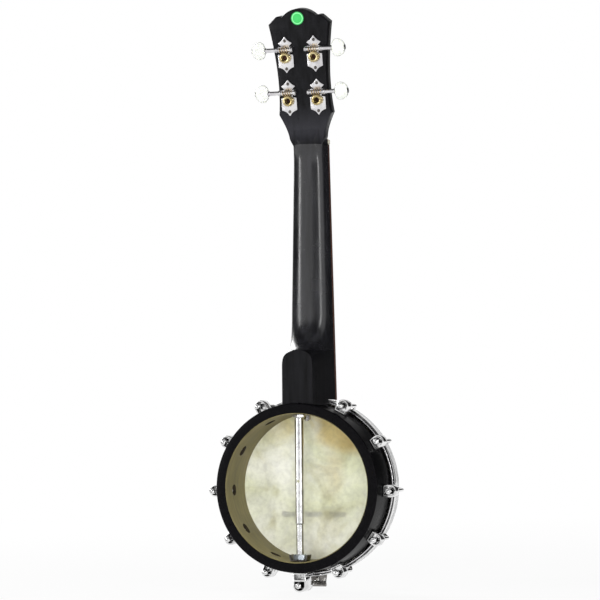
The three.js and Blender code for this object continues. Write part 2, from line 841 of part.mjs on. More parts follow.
function makeBridge() {
  const { halfWidth, height, footThickness, topThickness, slotMargin } = bridge;
  const z = -bridge.belowCentre;
  const outline = symmetricShape(bridgeShares, halfWidth, (share) => headFront + share * height);
  const body = extruded(outline, footThickness).translate(0, 0, z - footThickness / 2);
  const wedge = polygon([
    [headFront, z - footThickness / 2],
    [headFront, z + footThickness / 2],
    [headFront + height, z + topThickness / 2],
    [headFront + height, z - topThickness / 2],
  ]);
  let solid = solidOf(body).intersect(solidOf(plateAlongX(wedge, -halfWidth, halfWidth)));
  strings.forEach(({ diameter, side, spread }) => {
    const x = side * spread * stringSpread.bridge;
    const half = diameter / 2 + slotMargin;
    const top = headFront + height;
    const floor = top - diameter - slotMargin;
    const slot = box(x - half, x + half, floor, top + cutOverrun, z - footThickness, z + footThickness);
    solid = solid.subtract(solidOf(slot));
  });
  return solid;
}

// Neck

function halfWidthAt(z) {
  return THREE.MathUtils.lerp(neck.halfWidthAtNut, neck.halfWidthAtRim, Math.max(0, -z) / neckLength);
}

function depthAt(z) {
  return THREE.MathUtils.lerp(neck.depthAtNut, neck.depthAtHeel, Math.max(0, -z) / heelTop);
}

// A D section: flat on top, the curve of a full oval below, narrowed towards the heel's back by its taper.
function neckRing(z, halfWidth, depth, fullness = neck.fullness, taper = 0) {
  const ring = [];
  const power = 2 / fullness;
  for (let i = 0; i <= neckFacets; i += 1) {
    const angle = (i * Math.PI) / neckFacets;
    const [c, s] = [Math.cos(angle), Math.sin(angle)];
    const y = -depth * Math.abs(s) ** power;
    const narrowing = 1 - (taper * Math.min(-y, heel.back)) / heel.back;
    const x = halfWidth * narrowing * Math.sign(c) * Math.abs(c) ** power;
    ring.push(new THREE.Vector3(x, y, z));
  }
  return ring;
}

// How much the heel narrows from the fretboard to its back.
function heelTaperAt(z) {
  return 1 - heel.halfWidth / halfWidthAt(z);
}

// The heel's sections from the rim up: square and overdeep in the crown, so that the flat back cuts an arch
// out of them, and then a hollow cove up to the shaft.
function heelRings() {
  const { back, throat, arch } = heel;
  const crown = crownShares.map(({ drop, depth, fullness }) => {
    const z = -heelTop - drop * arch;
    return neckRing(z, halfWidthAt(z), depth * back, fullness, heelTaperAt(z));
  });
  const cove = coveShares.map((share) => {
    const z = -heelTop + throat * (1 - share);
    const depth = back - (back - neck.depthAtHeel) * Math.sqrt(1 - share * share);
    return neckRing(z, halfWidthAt(z), depth, neck.fullness, heelTaperAt(z) * share);
  });
  const foot = -nutAbovePot + rimInnerRadius;
  const { depth, fullness } = crownShares[crownShares.length - 1];
  const lowest = neckRing(foot, halfWidthAt(foot), depth * back, fullness, heelTaperAt(foot));
  return [lowest, ...crown.reverse(), ...cove.reverse()];
}

function makeShaft() {
  const rings = heelRings();
  voluteShares.forEach(({ along, rise }) => {
    const z = -volute.apexBelowNut - volute.length * (1 - along);
    rings.push(neckRing(z, halfWidthAt(z), depthAt(z) + rise * volute.rise));
  });
  const reach = neck.halfWidthAtRim + cutOverrun;
  const behind = box(-reach, reach, -heel.back * 2, -heel.back, -nutAbovePot, -heelTop + heel.throat);
  return solidOf(loft(rings)).subtract(solidOf(behind));
}

// The depth of the headstock's back plane at a height on the neck.
function headstockBackAt(z) {
  return -headstock.backAtNut - z * Math.tan(headstock.tilt);
}

// The facet of the volute runs from its lip up to the crease on the headstock's back.
function voluteCut() {
  const { rise, apexBelowNut, creaseAboveNut, length } = volute;
  const far = -heel.back;
  const facet = polygon([
    [-(neck.depthAtNut + rise), -apexBelowNut],
    [headstockBackAt(creaseAboveNut), creaseAboveNut],
    [headstockBackAt(length), length],
    [far, length],
    [far, -apexBelowNut],
  ]);
  return solidOf(plateAlongX(facet, -headstock.halfWidth, headstock.halfWidth));
}

// Everything in front of the neck's top plane, and of the headstock's wood above the nut's ledge.
function headstockFrontCut() {
  const front = (z) => headstockBackAt(z) + headstock.wood / Math.cos(headstock.tilt);
  const top = headstock.length + headstock.wood;
  const cut = polygon([
    [front(nut.length), nut.length],
    [0, nut.length],
    [0, -volute.length],
    [nut.height, -volute.length],
    [nut.height, top],
    [front(top), top],
  ]);
  const reach = headstock.halfWidth + cutOverrun;
  return solidOf(plateAlongX(cut, -reach, reach));
}

function headstockPose() {
  return new THREE.Matrix4().makeRotationX(headstock.tilt).setPosition(0, -headstock.backAtNut, 0);
}

function headstockOutline() {
  return symmetricShape(headstockShares, headstock.halfWidth, (share) => share * headstock.length);
}

function postDrills(radius) {
  const drills = [];
  Object.values(tuner.rows).forEach((z) => {
    [-1, 1].forEach((side) => {
      const drill = rodAlongY(radius, -cutOverrun, headstockFront + cutOverrun, smallFacets);
      drills.push(drill.translate(side * tuner.halfSpacing, 0, z));
    });
  });
  return drills;
}

// The space of the pot: the rim's outside, and the wider tension hoop further forward.
function potCut() {
  const front = neckPlaneAboveRimBack + nut.height + cutOverrun;
  const profile = [
    [0, -cutOverrun],
    [neckSeatRadius, -cutOverrun],
    [neckSeatRadius, hoopRecessStart],
    [hoopRecessRadius, hoopRecessStart],
    [hoopRecessRadius, front],
    [0, front],
  ];
  return solidOf(turned(profile, potFacets).translate(0, -neckPlaneAboveRimBack, -nutAbovePot));
}

function studHoles() {
  const top = neckSeatRadius + studDepthInHeel + seatGap;
  return [
    rodAlongZ(rod.studRadius + boreGap, rimInnerRadius, top, boreFacets).translate(0, rod.height, 0),
    rodAlongZ(heelStud.radius + boreGap, rimInnerRadius, top, boreFacets).translate(0, heelStud.height, 0),
  ].map((hole) => solidOf(hole.translate(0, -neckPlaneAboveRimBack, -nutAbovePot)));
}

function makeNeck() {
  const slab = plateAlongY(headstockOutline(), 0, headstock.wood + cutOverrun).applyMatrix4(headstockPose());
  let solid = joined([makeShaft().subtract(voluteCut()), solidOf(slab)]);
  solid = solid.subtract(headstockFrontCut()).subtract(potCut());
  postDrills(post.radius + boreGap).forEach((drill) => {
    solid = solid.subtract(solidOf(drill.applyMatrix4(headstockPose())));
  });
  return studHoles().reduce((sum, hole) => sum.subtract(hole), solid);
}

// The front layer of the headstock, in the headstock's own frame.
function makeHeadstockFace() {
  const back = headstock.wood + seatGap;
  const { tilt, halfWidth, length } = headstock;
  const start = (nut.length + seatGap - back * Math.sin(tilt)) / Math.cos(tilt);
  let solid = solidOf(plateAlongY(headstockOutline(), back, headstockFront));
  const below = box(-halfWidth, halfWidth, 0, headstockFront + cutOverrun, -length, start);
  solid = solid.subtract(solidOf(below));
  return postDrills(post.radius + boreGap).reduce((sum, drill) => sum.subtract(solidOf(drill)), solid);
}

function fretPosition(n) {
  return -scaleLength * (1 - 2 ** (-n / 12));
}

function makeFretboard() {
  const end = -nutAbovePot + rimInnerRadius;
  const endHalfWidth = halfWidthAt(-neckLength);
  const outline = polygon([
    [-neck.halfWidthAtNut, 0],
    [-endHalfWidth, -neckLength],
    [-endHalfWidth, end],
    [endHalfWidth, end],
    [endHalfWidth, -neckLength],
    [neck.halfWidthAtNut, 0],
  ]);
  const solids = [solidOf(plateAlongY(outline, 0, fretboard.thickness))];
  for (let n = 1; n <= fretboard.frets; n += 1) {
    const z = fretPosition(n);
    const { thickness, fretHeight, fretHalfWidth } = fretboard;
    const section = polygon([
      [thickness - fretHeight, z - fretHalfWidth],
      [thickness, z - fretHalfWidth],
      [thickness + fretHeight, z - fretHalfWidth / 2],
      [thickness + fretHeight, z + fretHalfWidth / 2],
      [thickness, z + fretHalfWidth],
      [thickness - fretHeight, z + fretHalfWidth],
    ]);
    const reach = halfWidthAt(z) - fretHeight;
    solids.push(solidOf(plateAlongX(section, -reach, reach)));
  }
  return joined(solids).subtract(potCut());
}

function nutStringHeight(diameter) {
  return nut.height - diameter / 2;
}

function makeNut() {
  const body = box(-neck.halfWidthAtNut, neck.halfWidthAtNut, 0, nut.height, 0, nut.length);
  let solid = solidOf(body);
  strings.forEach(({ diameter, side, spread }) => {
    const x = side * spread * stringSpread.nut;
    const half = diameter / 2 + nut.slotMargin;
    const floor = nut.height - diameter - nut.slotMargin;
    const slot = box(x - half, x + half, floor, nut.height + cutOverrun, -cutOverrun, nut.length + cutOverrun);
    solid = solid.subtract(solidOf(slot));
  });
  return solid;
}

// Tuners

function screwHead(z) {
  const { screwRadius, screwHeight, plateThickness } = tuner;
  const base = -seatGap - plateThickness;
  const profile = [
    [0, base - screwHeight],
    [screwRadius / 2, base - screwHeight],
    [screwRadius, base - screwHeight / 3],
    [screwRadius, base + plateThickness / 2],
    [0, base + plateThickness / 2],
  ];
  return turned(profile, tubeSides).translate(0, 0, z);
}

// An ear bent up from the plate, with a round crown and the worm's bearing hole.
function ear(from, to) {
  const { earHalfWidth, earCrown } = tuner;
  const shape = new THREE.Shape();
  shape.moveTo(-seatGap, worm.offset - earHalfWidth);
  shape.lineTo(-worm.height, worm.offset - earHalfWidth);
  shape.absellipse(-worm.height, worm.offset, earCrown, earHalfWidth, -Math.PI / 2, -Math.PI * 1.5, true);
  shape.lineTo(-seatGap, worm.offset + earHalfWidth);
  shape.closePath();
  const turn = new THREE.Matrix4().set(0, 0, 1, from, 1, 0, 0, 0, 0, 1, 0, 0, 0, 0, 0, 1);
  return extruded(shape, to - from, roundEndSegments).applyMatrix4(turn);
}

function makeTunerPlate() {
  const { plateThickness, plateTop, plateBottom, plateHalfWidth } = tuner;
  const { earInset, earThickness, earHalfWidth, screwInset } = tuner;
  const [back, front] = [-seatGap - plateThickness, -seatGap];
  const heightOf = (share) => (share > 0 ? share * plateTop : -share * plateBottom);
  const outline = symmetricShape(plateShares, plateHalfWidth, heightOf);
  const earEnd = earInset + earThickness;
  const wings = box(-earEnd, earEnd, back, front, worm.offset - earHalfWidth, worm.offset + earHalfWidth);
  let solid = joined([
    solidOf(plateAlongY(outline, back, front, plateSegments)),
    solidOf(wings),
    solidOf(ear(earInset, earEnd)),
    solidOf(ear(-earEnd, -earInset)),
    solidOf(screwHead(plateTop - screwInset)),
    solidOf(screwHead(plateBottom + screwInset)),
  ]);
  const bearing = rodAlongX(worm.shaftRadius + boreGap, -earEnd - cutOverrun, earEnd + cutOverrun, smallFacets);
  solid = solid.subtract(solidOf(bearing.translate(0, -worm.height, worm.offset)));
  const postHole = rodAlongY(post.radius + boreGap, back - cutOverrun, front + cutOverrun, smallFacets);
  return solid.subtract(solidOf(postHole));
}

// The worm's thread: a narrow ridge that climbs one tooth of the gear in each turn.
function wormPitch() {
  return (2 * Math.PI * gear.pitchRadius) / gear.teeth;
}

function threadGeometry() {
  const { turns, stepsPerTurn, coreRadius, rootShare, tipRadius, rootHalfWidth, tipHalfWidth } = worm;
  const steps = turns * stepsPerTurn;
  const root = coreRadius * rootShare;
  const rings = [];
  for (let i = 0; i <= steps; i += 1) {
    const turn = i / stepsPerTurn - turns / 2;
    const angle = 2 * Math.PI * turn + Math.PI / 2;
    const x = wormPitch() * turn;
    const corner = (radius, shift) => (
      new THREE.Vector3(x + shift, radius * Math.cos(angle), radius * Math.sin(angle))
    );
    rings.push([
      corner(root, -rootHalfWidth),
      corner(tipRadius, -tipHalfWidth),
      corner(tipRadius, tipHalfWidth),
      corner(root, rootHalfWidth),
    ]);
  }
  return loft(rings);
}

function buttonStart() {
  return button.centre - button.length / 2 - tuner.halfSpacing;
}

// Worm, shaft, collars and end cap are one turned piece, drawn about the worm's own axis.
function makeWormShaft(side) {
  const { coreRadius, shaftRadius, collarRadius, collarLength } = worm;
  const ears = tuner.earInset + tuner.earThickness;
  const wormEnd = tuner.earInset - seatGap;
  const start = buttonStart();
  const end = start + button.length + seatGap;
  const profile = [
    [0, -ears - seatGap - collarLength],
    [collarRadius, -ears - seatGap - collarLength],
    [collarRadius, -ears - seatGap],
    [shaftRadius, -ears - seatGap],
    [shaftRadius, -wormEnd],
    [coreRadius, -wormEnd],
    [coreRadius, wormEnd],
    [shaftRadius, wormEnd],
    [shaftRadius, ears + seatGap],
    [collarRadius, ears + seatGap],
    [collarRadius, ears + seatGap + collarLength],
    [shaftRadius, ears + seatGap + collarLength],
    [shaftRadius, start - seatGap - collarLength],
    [collarRadius, start - seatGap - collarLength],
    [collarRadius, start - seatGap],
    [shaftRadius, start - seatGap],
    [shaftRadius, end],
    [button.capRadius + boreGap * 2, end],
    [button.capRadius + boreGap * 2, end + button.capThickness],
    [0, end + button.capThickness],
  ];
  const shaft = turned(profile, worm.stepsPerTurn).rotateZ(-Math.PI / 2);
  if (side < 0) {
    shaft.rotateY(Math.PI);
  }
  return joined([solidOf(shaft), solidOf(threadGeometry())]);
}

function buttonRing(x, halfHeight, halfThickness) {
  const ring = [];
  const power = 2 / button.fullness;
  for (let i = 0; i < boreFacets; i += 1) {
    const angle = (i * 2 * Math.PI) / boreFacets;
    const [c, s] = [Math.cos(angle), Math.sin(angle)];
    const y = halfThickness * Math.sign(c) * Math.abs(c) ** power;
    ring.push(new THREE.Vector3(x, y, halfHeight * Math.sign(s) * Math.abs(s) ** power));
  }
  return ring;
}

function makeButton(side) {
  const start = buttonStart();
  const rings = buttonShares.map(({ along, height, thickness }) => (
    buttonRing(start + along * button.length, height * button.halfHeight, thickness * button.halfThickness)
  ));
  const body = loft(rings);
  const reach = start + button.length + cutOverrun;
  const bore = rodAlongX(worm.shaftRadius + boreGap, start - cutOverrun, reach, smallFacets);
  if (side < 0) {
    body.rotateY(Math.PI);
    bore.rotateY(Math.PI);
  }
  return solidOf(body).subtract(solidOf(bore));
}

// Teeth are slanted like the worm's thread, so that they lie in its groove.
function gearRing(y, twist) {
  const { teeth, tipRadius, rootRadius, tipHalfWidth, rootHalfWidth } = gear;
  const ring = [];
  for (let i = 0; i < teeth; i += 1) {
    const middle = Math.PI / 2 + twist + (i * 2 * Math.PI) / teeth;
    const corner = (radius, halfWidth) => {
      const angle = middle + halfWidth / radius;
      ring.push(new THREE.Vector3(radius * Math.cos(angle), y, radius * Math.sin(angle)));
    };
    corner(rootRadius, -rootHalfWidth);
    corner(tipRadius, -tipHalfWidth);
    corner(tipRadius, tipHalfWidth);
    corner(rootRadius, rootHalfWidth);
  }
  return ring;
}

function makeGearPost() {
  const { pitchRadius, thickness, hubRadius, recessRadius, recessDepth } = gear;
  const { radius, reach, waistRadius, waistStart, waistEnd, tipBevel, holeRadius } = post;
  const [back, front] = [-worm.height - thickness / 2, -worm.height + thickness / 2];
  const slant = wormPitch() / (2 * Math.PI * (worm.offset - pitchRadius));
  const twist = (slant * thickness) / 2 / pitchRadius;
  const hubEnd = -tuner.plateThickness - seatGap * 2;
  const profile = [
    [0, -worm.height],
    [hubRadius, -worm.height],
    [hubRadius, hubEnd],
    [radius, hubEnd],
    [radius, headstockFront + waistStart],
    [waistRadius, headstockFront + waistStart],
    [waistRadius, headstockFront + waistEnd],
    [radius, headstockFront + waistEnd],
    [radius, headstockFront + reach - tipBevel],
    [radius - tipBevel, headstockFront + reach],
    [0, headstockFront + reach],
  ];
  const hole = rodAlongX(holeRadius, -radius * 2, radius * 2, hexSides);
  const stringHole = headstockFront + (waistStart + waistEnd) / 2 + tipBevel;
  return joined([
    solidOf(loft([gearRing(back, twist), gearRing(front, -twist)])),
    solidOf(turned(profile, smallFacets)),
  ])
    .subtract(solidOf(rodAlongY(recessRadius, back - cutOverrun, back + recessDepth, boreFacets)))
    .subtract(solidOf(hole.translate(0, stringHole, 0)));
}

// Strings

function potPoint(x, y, z) {
  return new THREE.Vector3(x, y - neckPlaneAboveRimBack, z - nutAbovePot);
}

// The turns of a string round its post, in the headstock's frame, from the nut's side outwards.
function windingStations({ diameter, side, row }) {
  const radius = post.radius + seatGap + diameter / 2;
  const pitch = diameter + winding.gap;
  const stations = [];
  const steps = winding.turns * winding.stepsPerTurn;
  for (let i = 0; i <= steps; i += 1) {
    const turn = i / winding.stepsPerTurn;
    const angle = 2 * Math.PI * turn;
    const x = side * (tuner.halfSpacing - radius * Math.cos(angle));
    const y = headstockFront + winding.start + pitch * turn;
    const z = tuner.rows[row] + radius * Math.sin(angle);
    stations.push(new THREE.Vector3(x, y, z).applyMatrix4(headstockPose()));
  }
  return stations;
}

// The smallest free gap between turns that lie more than half a turn apart on the string.
function leastGap(stations, diameter) {
  let least = Infinity;
  const apart = winding.stepsPerTurn / 2;
  for (let i = 0; i < stations.length; i += 1) {
    for (let j = i + apart; j < stations.length; j += 1) {
      least = Math.min(least, stations[i].distanceTo(stations[j]) - diameter);
    }
  }
  return least;
}

// From the knot under the tailpiece, over its lip, the bridge and the nut, to the post.
function makeString(string) {
  const { name, diameter, side, spread } = string;
  const { lipRise, notchDepth, bendDrop } = tailpiece;
  const radius = diameter / 2;
  const tailX = side * spread * stringSpread.tail;
  const bridgeX = side * spread * stringSpread.bridge;
  const nutX = side * spread * stringSpread.nut;
  const over = tailPlateFront + seatGap + radius;
  const lipTop = tailPlateFront + lipRise - notchDepth + seatGap + radius;
  const knotY = tailPlateBack - bendDrop - seatGap - knotRadius;
  const bridgeY = headFront + bridge.height - radius;
  const turns = windingStations(string);
  const stations = [
    potPoint(tailX, knotY, -tailHoles),
    potPoint(tailX, over - radius, -tailHoles),
    potPoint(tailX, over, -tailHoles + radius),
    potPoint(tailX, lipTop, -tailLip - tailpiece.lipLength),
    potPoint(tailX, lipTop, -tailLip),
    potPoint(bridgeX, bridgeY, -bridge.belowCentre - bridge.topThickness / 2),
    potPoint(bridgeX, bridgeY, -bridge.belowCentre + bridge.topThickness / 2),
    new THREE.Vector3(nutX, nutStringHeight(diameter), 0),
    new THREE.Vector3(nutX, nutStringHeight(diameter), nut.length),
    ...turns,
  ];
  console.log(`${name}: least gap between turns ${leastGap(turns, diameter).toFixed(2)} mm`);
  const knot = new THREE.SphereGeometry(knotRadius, tubeSides, tubeSides / 2);
  knot.translate(...potPoint(tailX, knotY, -tailHoles).toArray());
  return joined([solidOf(tube(stations, radius, winding.sides)), solidOf(knot)]);
}

// Assembly

function makePotGroup() {
  const group = new THREE.Group();
  group.position.set(0, -neckPlaneAboveRimBack, -nutAbovePot);
  group.add(node('rim', makeRim(), 'rimWood'));
  group.add(node('drumhead', makeDrumhead(), 'parchment'));
  group.add(node('drumhead_collar', makeDrumheadCollar(), 'parchment'));
  group.add(node('flesh_hoop', makeFleshHoop(), 'nickel'));
  group.add(node('tension_hoop', makeTensionHoop(), 'chrome'));
  group.add(node('bridge', makeBridge(), 'maple'));
  const rodGroup = new THREE.Group();
  rodGroup.position.y = rod.height;
  rodGroup.add(node('rod_sleeve', makeSleeve(), 'chrome'));
  rodGroup.add(node('rod_adjuster', makeAdjuster(), 'chrome'));
  rodGroup.add(node('rod_neck_nut', makeNeckNut(), 'nickel'));
  rodGroup.add(node('rod_tail_nut', makeTailNut(), 'nickel'));
  group.add(rodGroup);
  group.add(node('rod_saddle', makeSaddle(), 'nickel'));
  const stud = node('heel_stud', makeHeelStud(), 'nickel');
  stud.position.y = heelStud.height;
  group.add(stud);
  bracketAngles().forEach((angle, index) => {
    const shoeNode = node(`shoe_${index + 1}`, makeShoe(), 'chrome');
    const hookNode = node(`hook_${index + 1}`, makeHook(), 'chrome');
    [shoeNode, hookNode].forEach((mesh) => {
      mesh.rotation.y = angle;
      group.add(mesh);
    });
  });
  const tailGroup = new THREE.Group();
  tailGroup.rotation.y = Math.PI;
  tailGroup.add(node('tail_bracket', makeTailBracket(), 'chrome'));
  tailGroup.add(node('tail_hook', makeTailHook(), 'chrome'));
  tailGroup.add(node('tailpiece', makeTailpiece(), 'chrome'));
  group.add(tailGroup);
  return group;
}

function makeTuner(side, row, name) {
  const group = new THREE.Group();
  group.position.set(side * tuner.halfSpacing, 0, tuner.rows[row]);
  group.add(node(`tuner_plate_${name}`, makeTunerPlate(), 'nickel'));
  group.add(node(`gear_post_${name}`, makeGearPost(), 'brass'));
  const wormGroup = new THREE.Group();
  wormGroup.position.set(0, -worm.height, worm.offset);
  wormGroup.add(node(`worm_shaft_${name}`, makeWormShaft(side), 'nickel'));
  wormGroup.add(node(`button_${name}`, makeButton(side), 'pearl'));
  group.add(wormGroup);
  return group;
}

function makeHeadstockGroup() {
  const group = new THREE.Group();
  group.position.y = -headstock.backAtNut;
  group.rotation.x = headstock.tilt;
  group.add(node('headstock_face', makeHeadstockFace(), 'blackWood'));
  group.add(makeTuner(-1, 'lower', 'left_lower'));
  group.add(makeTuner(-1, 'upper', 'left_upper'));
  group.add(makeTuner(1, 'lower', 'right_lower'));
  group.add(makeTuner(1, 'upper', 'right_upper'));
  return group;
}

const instrument = new THREE.Group();
instrument.add(node('neck', makeNeck(), 'blackWood'));
instrument.add(node('fretboard', makeFretboard(), 'rosewood'));
instrument.add(node('string_nut', makeNut(), 'bone'));
instrument.add(makeHeadstockGroup());
instrument.add(makePotGroup());
strings.forEach((string) => instrument.add(node(string.name, makeString(string), 'nylon')));

export default instrument;
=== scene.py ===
# %% [markdown]
# # A banjo ukulele, seen from behind
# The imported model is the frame: it says where each piece sits. This notebook dresses it, piece by piece.
# The drawing of the real thing is in millimetres, so each new piece is modelled in millimetres about a handy
# middle of its own, and is then set in place in metres.

# %% Load the frame
import json
import math

import bmesh
import bpy
from mathutils import Matrix, Vector


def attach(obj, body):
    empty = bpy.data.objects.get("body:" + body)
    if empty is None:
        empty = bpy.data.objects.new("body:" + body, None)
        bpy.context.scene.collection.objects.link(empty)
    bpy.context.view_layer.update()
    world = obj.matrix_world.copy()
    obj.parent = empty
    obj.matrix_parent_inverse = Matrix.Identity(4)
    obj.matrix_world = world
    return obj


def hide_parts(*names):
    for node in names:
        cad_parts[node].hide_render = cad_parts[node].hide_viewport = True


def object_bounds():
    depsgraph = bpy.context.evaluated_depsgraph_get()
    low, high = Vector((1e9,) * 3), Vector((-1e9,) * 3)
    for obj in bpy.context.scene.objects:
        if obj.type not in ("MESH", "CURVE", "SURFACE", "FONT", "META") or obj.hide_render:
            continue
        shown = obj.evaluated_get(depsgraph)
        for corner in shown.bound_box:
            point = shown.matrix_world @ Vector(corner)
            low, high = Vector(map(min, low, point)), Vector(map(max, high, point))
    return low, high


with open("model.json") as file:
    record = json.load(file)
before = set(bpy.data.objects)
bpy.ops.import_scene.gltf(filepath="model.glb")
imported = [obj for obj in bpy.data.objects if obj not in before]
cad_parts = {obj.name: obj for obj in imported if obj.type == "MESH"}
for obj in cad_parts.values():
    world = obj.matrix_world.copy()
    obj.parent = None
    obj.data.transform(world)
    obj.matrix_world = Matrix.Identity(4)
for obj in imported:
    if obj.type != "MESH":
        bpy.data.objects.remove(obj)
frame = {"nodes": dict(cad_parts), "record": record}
cad_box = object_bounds()
nodes = frame["nodes"]
bpy.context.scene.view_settings.view_transform = "Standard"

# %% [markdown]
# ## Camera
# The photograph was taken from a few metres away with a long lens, a little to the right of the middle and just
# below it. A long lens keeps the round pot from swelling. The camera could be aimed with a constraint, but a
# turn worked out once from its angles stays put when other views move the camera.

# %% Camera
camera_azimuth, camera_elevation, camera_roll = (math.radians(a) for a in (18.26, -2.10, -0.52))
camera_target = Vector((0.00558, -0.0561, -0.14774))
camera_distance = 2.5335
camera_lens = 165.74

back = Vector((
    math.sin(camera_azimuth) * math.cos(camera_elevation),
    -math.cos(camera_azimuth) * math.cos(camera_elevation),
    math.sin(camera_elevation),
))
right = Vector((math.cos(camera_azimuth), math.sin(camera_azimuth), 0))
axes = Matrix((right, back.cross(right), back)).transposed() @ Matrix.Rotation(camera_roll, 3, "Z")
bpy.ops.object.camera_add(location=camera_target + back * camera_distance, rotation=axes.to_euler())
camera = bpy.context.object
camera.data.lens = camera_lens
bpy.context.scene.camera = camera
print("camera at", [round(c, 3) for c in camera.location])

# %% [markdown]
# ## Floor, room and lamps
# Product pictures are lit by tall soft boxes left and right of the camera. Bright metal shows all that stands round
# it, so the room has a white backdrop, the glow of two soft boxes, and black flags between them: a chrome rod then
# gets two white streaks and dark edges. The floor is pale, and looks white except where the instrument shades it.

# %% Colour written as on a screen
def colour(red, green, blue):
    """Screen values from 0 to 255 as the linear colour that a shader wants."""
    def linear(value):
        share = value / 255
        return share / 12.92 if share <= 0.04045 else ((share + 0.055) / 1.055) ** 2.4
    return (linear(red), linear(green), linear(blue), 1)


def add_node(tree, kind, inputs=(), **settings):
    """A new shader node with its settings. An input is fed by another node's output or by a plain value."""
    new = tree.nodes.new(kind)
    for key, value in settings.items():
        setattr(new, key, value)
    for key, value in dict(inputs).items():
        if isinstance(value, bpy.types.NodeSocket):
            tree.links.new(value, new.inputs[key])
        else:
            new.inputs[key].default_value = value
    return new


def ramp(tree, factor, stops):
    """A colour ramp through (place, colour) stops, fed by a factor."""
    new = add_node(tree, "ShaderNodeValToRGB", {"Fac": factor})
    elements = new.color_ramp.elements
    while len(elements) < len(stops):
        elements.new(0.5)
    for element, (place, shade) in zip(elements, stops):
        element.position, element.color = place, shade
    return new.outputs["Color"]


def grey(share):
    """A grey that gives back so much of the light."""
    return (share, share, share, 1)


def mixed(tree, factor, first, second, mode="MIX"):
    """Two colours mixed, added or multiplied."""
    inputs = {"Factor": factor, "A": first, "B": second}
    return add_node(tree, "ShaderNodeMix", inputs, data_type="RGBA", blend_type=mode).outputs["Result"]


def calculated(tree, operation, first, second):
    """The result of one sum on two values."""
    return add_node(tree, "ShaderNodeMath", {0: first, 1: second}, operation=operation).outputs[0]


def seen_straight(tree):
    """1 for a ray from the camera, also by way of a mirror or a clear thing, and 0 for scattered light."""
    ray = add_node(tree, "ShaderNodeLightPath")
    seen = ray.outputs["Is Camera Ray"]
    for kind in ("Is Glossy Ray", "Is Transmission Ray"):
        seen = calculated(tree, "MAXIMUM", seen, ray.outputs[kind])
    return seen


def surface(tree, output, factor, first, second):
    """Give a material or the world a mix of two shaders, by a factor."""
    both = add_node(tree, "ShaderNodeMixShader", {"Fac": factor, 1: first.outputs[0], 2: second.outputs[0]})
    tree.links.new(both.outputs[0], tree.nodes[output].inputs["Surface"])


# %% Room
world = bpy.data.worlds.new("white_room")
bpy.context.scene.world = world
world.use_nodes = True
tree = world.node_tree
direction = add_node(tree, "ShaderNodeTexCoord").outputs["Generated"]
split = add_node(tree, "ShaderNodeSeparateXYZ", {0: direction})
behind = calculated(tree, "MULTIPLY", split.outputs["Y"], -1)
azimuth = calculated(tree, "ARCTAN2", split.outputs["X"], behind)
round_room = add_node(tree, "ShaderNodeMapRange", {"Value": azimuth, "From Min": -math.pi, "From Max": math.pi})
# Degrees from the -Y side: the camera is at 18, between two soft boxes, and faces a white backdrop at -162.
wall_stops = (
    (-180, 0.9), (-144, 0.9), (-136, 0.05), (-63, 0.08), (-55, 1), (-6, 1), (3, 0.3), (40, 0.3), (48, 1), (84, 1),
    (92, 0.03), (171, 0.03), (179, 0.9),
)
walls = ramp(tree, round_room.outputs["Result"], [
    ((degrees + 180) / 360, grey(share)) for degrees, share in wall_stops])
ceiling = ramp(tree, split.outputs["Z"], [(0, grey(1)), (0.34, grey(1)), (0.55, grey(0.16))])
room = mixed(tree, 1.0, walls, ceiling, "MULTIPLY")
fill = add_node(tree, "ShaderNodeBackground", {"Color": room, "Strength": 0.9})
from_camera = add_node(tree, "ShaderNodeLightPath").outputs["Is Camera Ray"]
backdrop = add_node(tree, "ShaderNodeBackground", {"Color": mixed(tree, from_camera, room, grey(1)), "Strength": 1})
surface(tree, "World Output", seen_straight(tree), fill, backdrop)

# %% Floor
floor_size = 14
floor_drop = 0.0005
bpy.ops.mesh.primitive_plane_add(size=floor_size, location=(0, 0, cad_box[0].z - floor_drop))
floor = bpy.context.object
floor.name = "floor"
floor_finish = bpy.data.materials.new("white_floor")
floor_finish.use_nodes = True
tree = floor_finish.node_tree
paint = tree.nodes["Principled BSDF"]
paint.inputs["Base Color"].default_value = grey(0.9)
paint.inputs["Roughness"].default_value = 0.9
paint.inputs["Specular IOR Level"].default_value = 0.1
glow = add_node(tree, "ShaderNodeEmission", {"Color": grey(1), "Strength": 1})
# Close to the instrument the floor still takes a tenth of its shade, and further out it is plain white.
place = add_node(tree, "ShaderNodeTexCoord").outputs["Object"]
distance = add_node(tree, "ShaderNodeVectorMath", {0: place}, operation="LENGTH").outputs["Value"]
fade = {"Value": distance, "From Min": 0.4, "From Max": 1.6, "To Min": 0.9, "To Max": 1}
whiteness = add_node(tree, "ShaderNodeMapRange", fade).outputs["Result"]
surface(tree, "Material Output", calculated(tree, "MULTIPLY", seen_straight(tree), whiteness), paint, glow)
floor.data.materials.append(floor_finish)

# %% Lamps
lamp_target = Vector((0, -0.02, -0.2))


def soft_lamp(name, place, size, power, in_metal=True):
    """A large lamp, so wide and so tall, turned to the middle of the instrument. Metal may show it or not."""
    place = Vector(place)
    turn = (place - lamp_target).to_track_quat("Z", "Y").to_euler()
    bpy.ops.object.light_add(type="AREA", location=place, rotation=turn)
    lamp = bpy.context.object
    lamp.name = name
    lamp.data.shape = "RECTANGLE"
    lamp.data.size, lamp.data.size_y = size
    lamp.data.energy = power
    lamp.visible_glossy = in_metal


soft_lamp("lamp_left", (-1.76, -1.48, 0.1), (0.3, 1.7), 16)
soft_lamp("lamp_right", (1.65, -1.6, 0.1), (0.3, 1.7), 11)
soft_lamp("lamp_behind", (0.6, -2.6, 0.25), (1.2, 1.2), 46, in_metal=False)
soft_lamp("lamp_front", (-1.7, 1.9, 0.9), (1.2, 1.2), 50)
soft_lamp("lamp_above", (0.2, -0.6, 2.2), (1.2, 0.8), 10, in_metal=False)

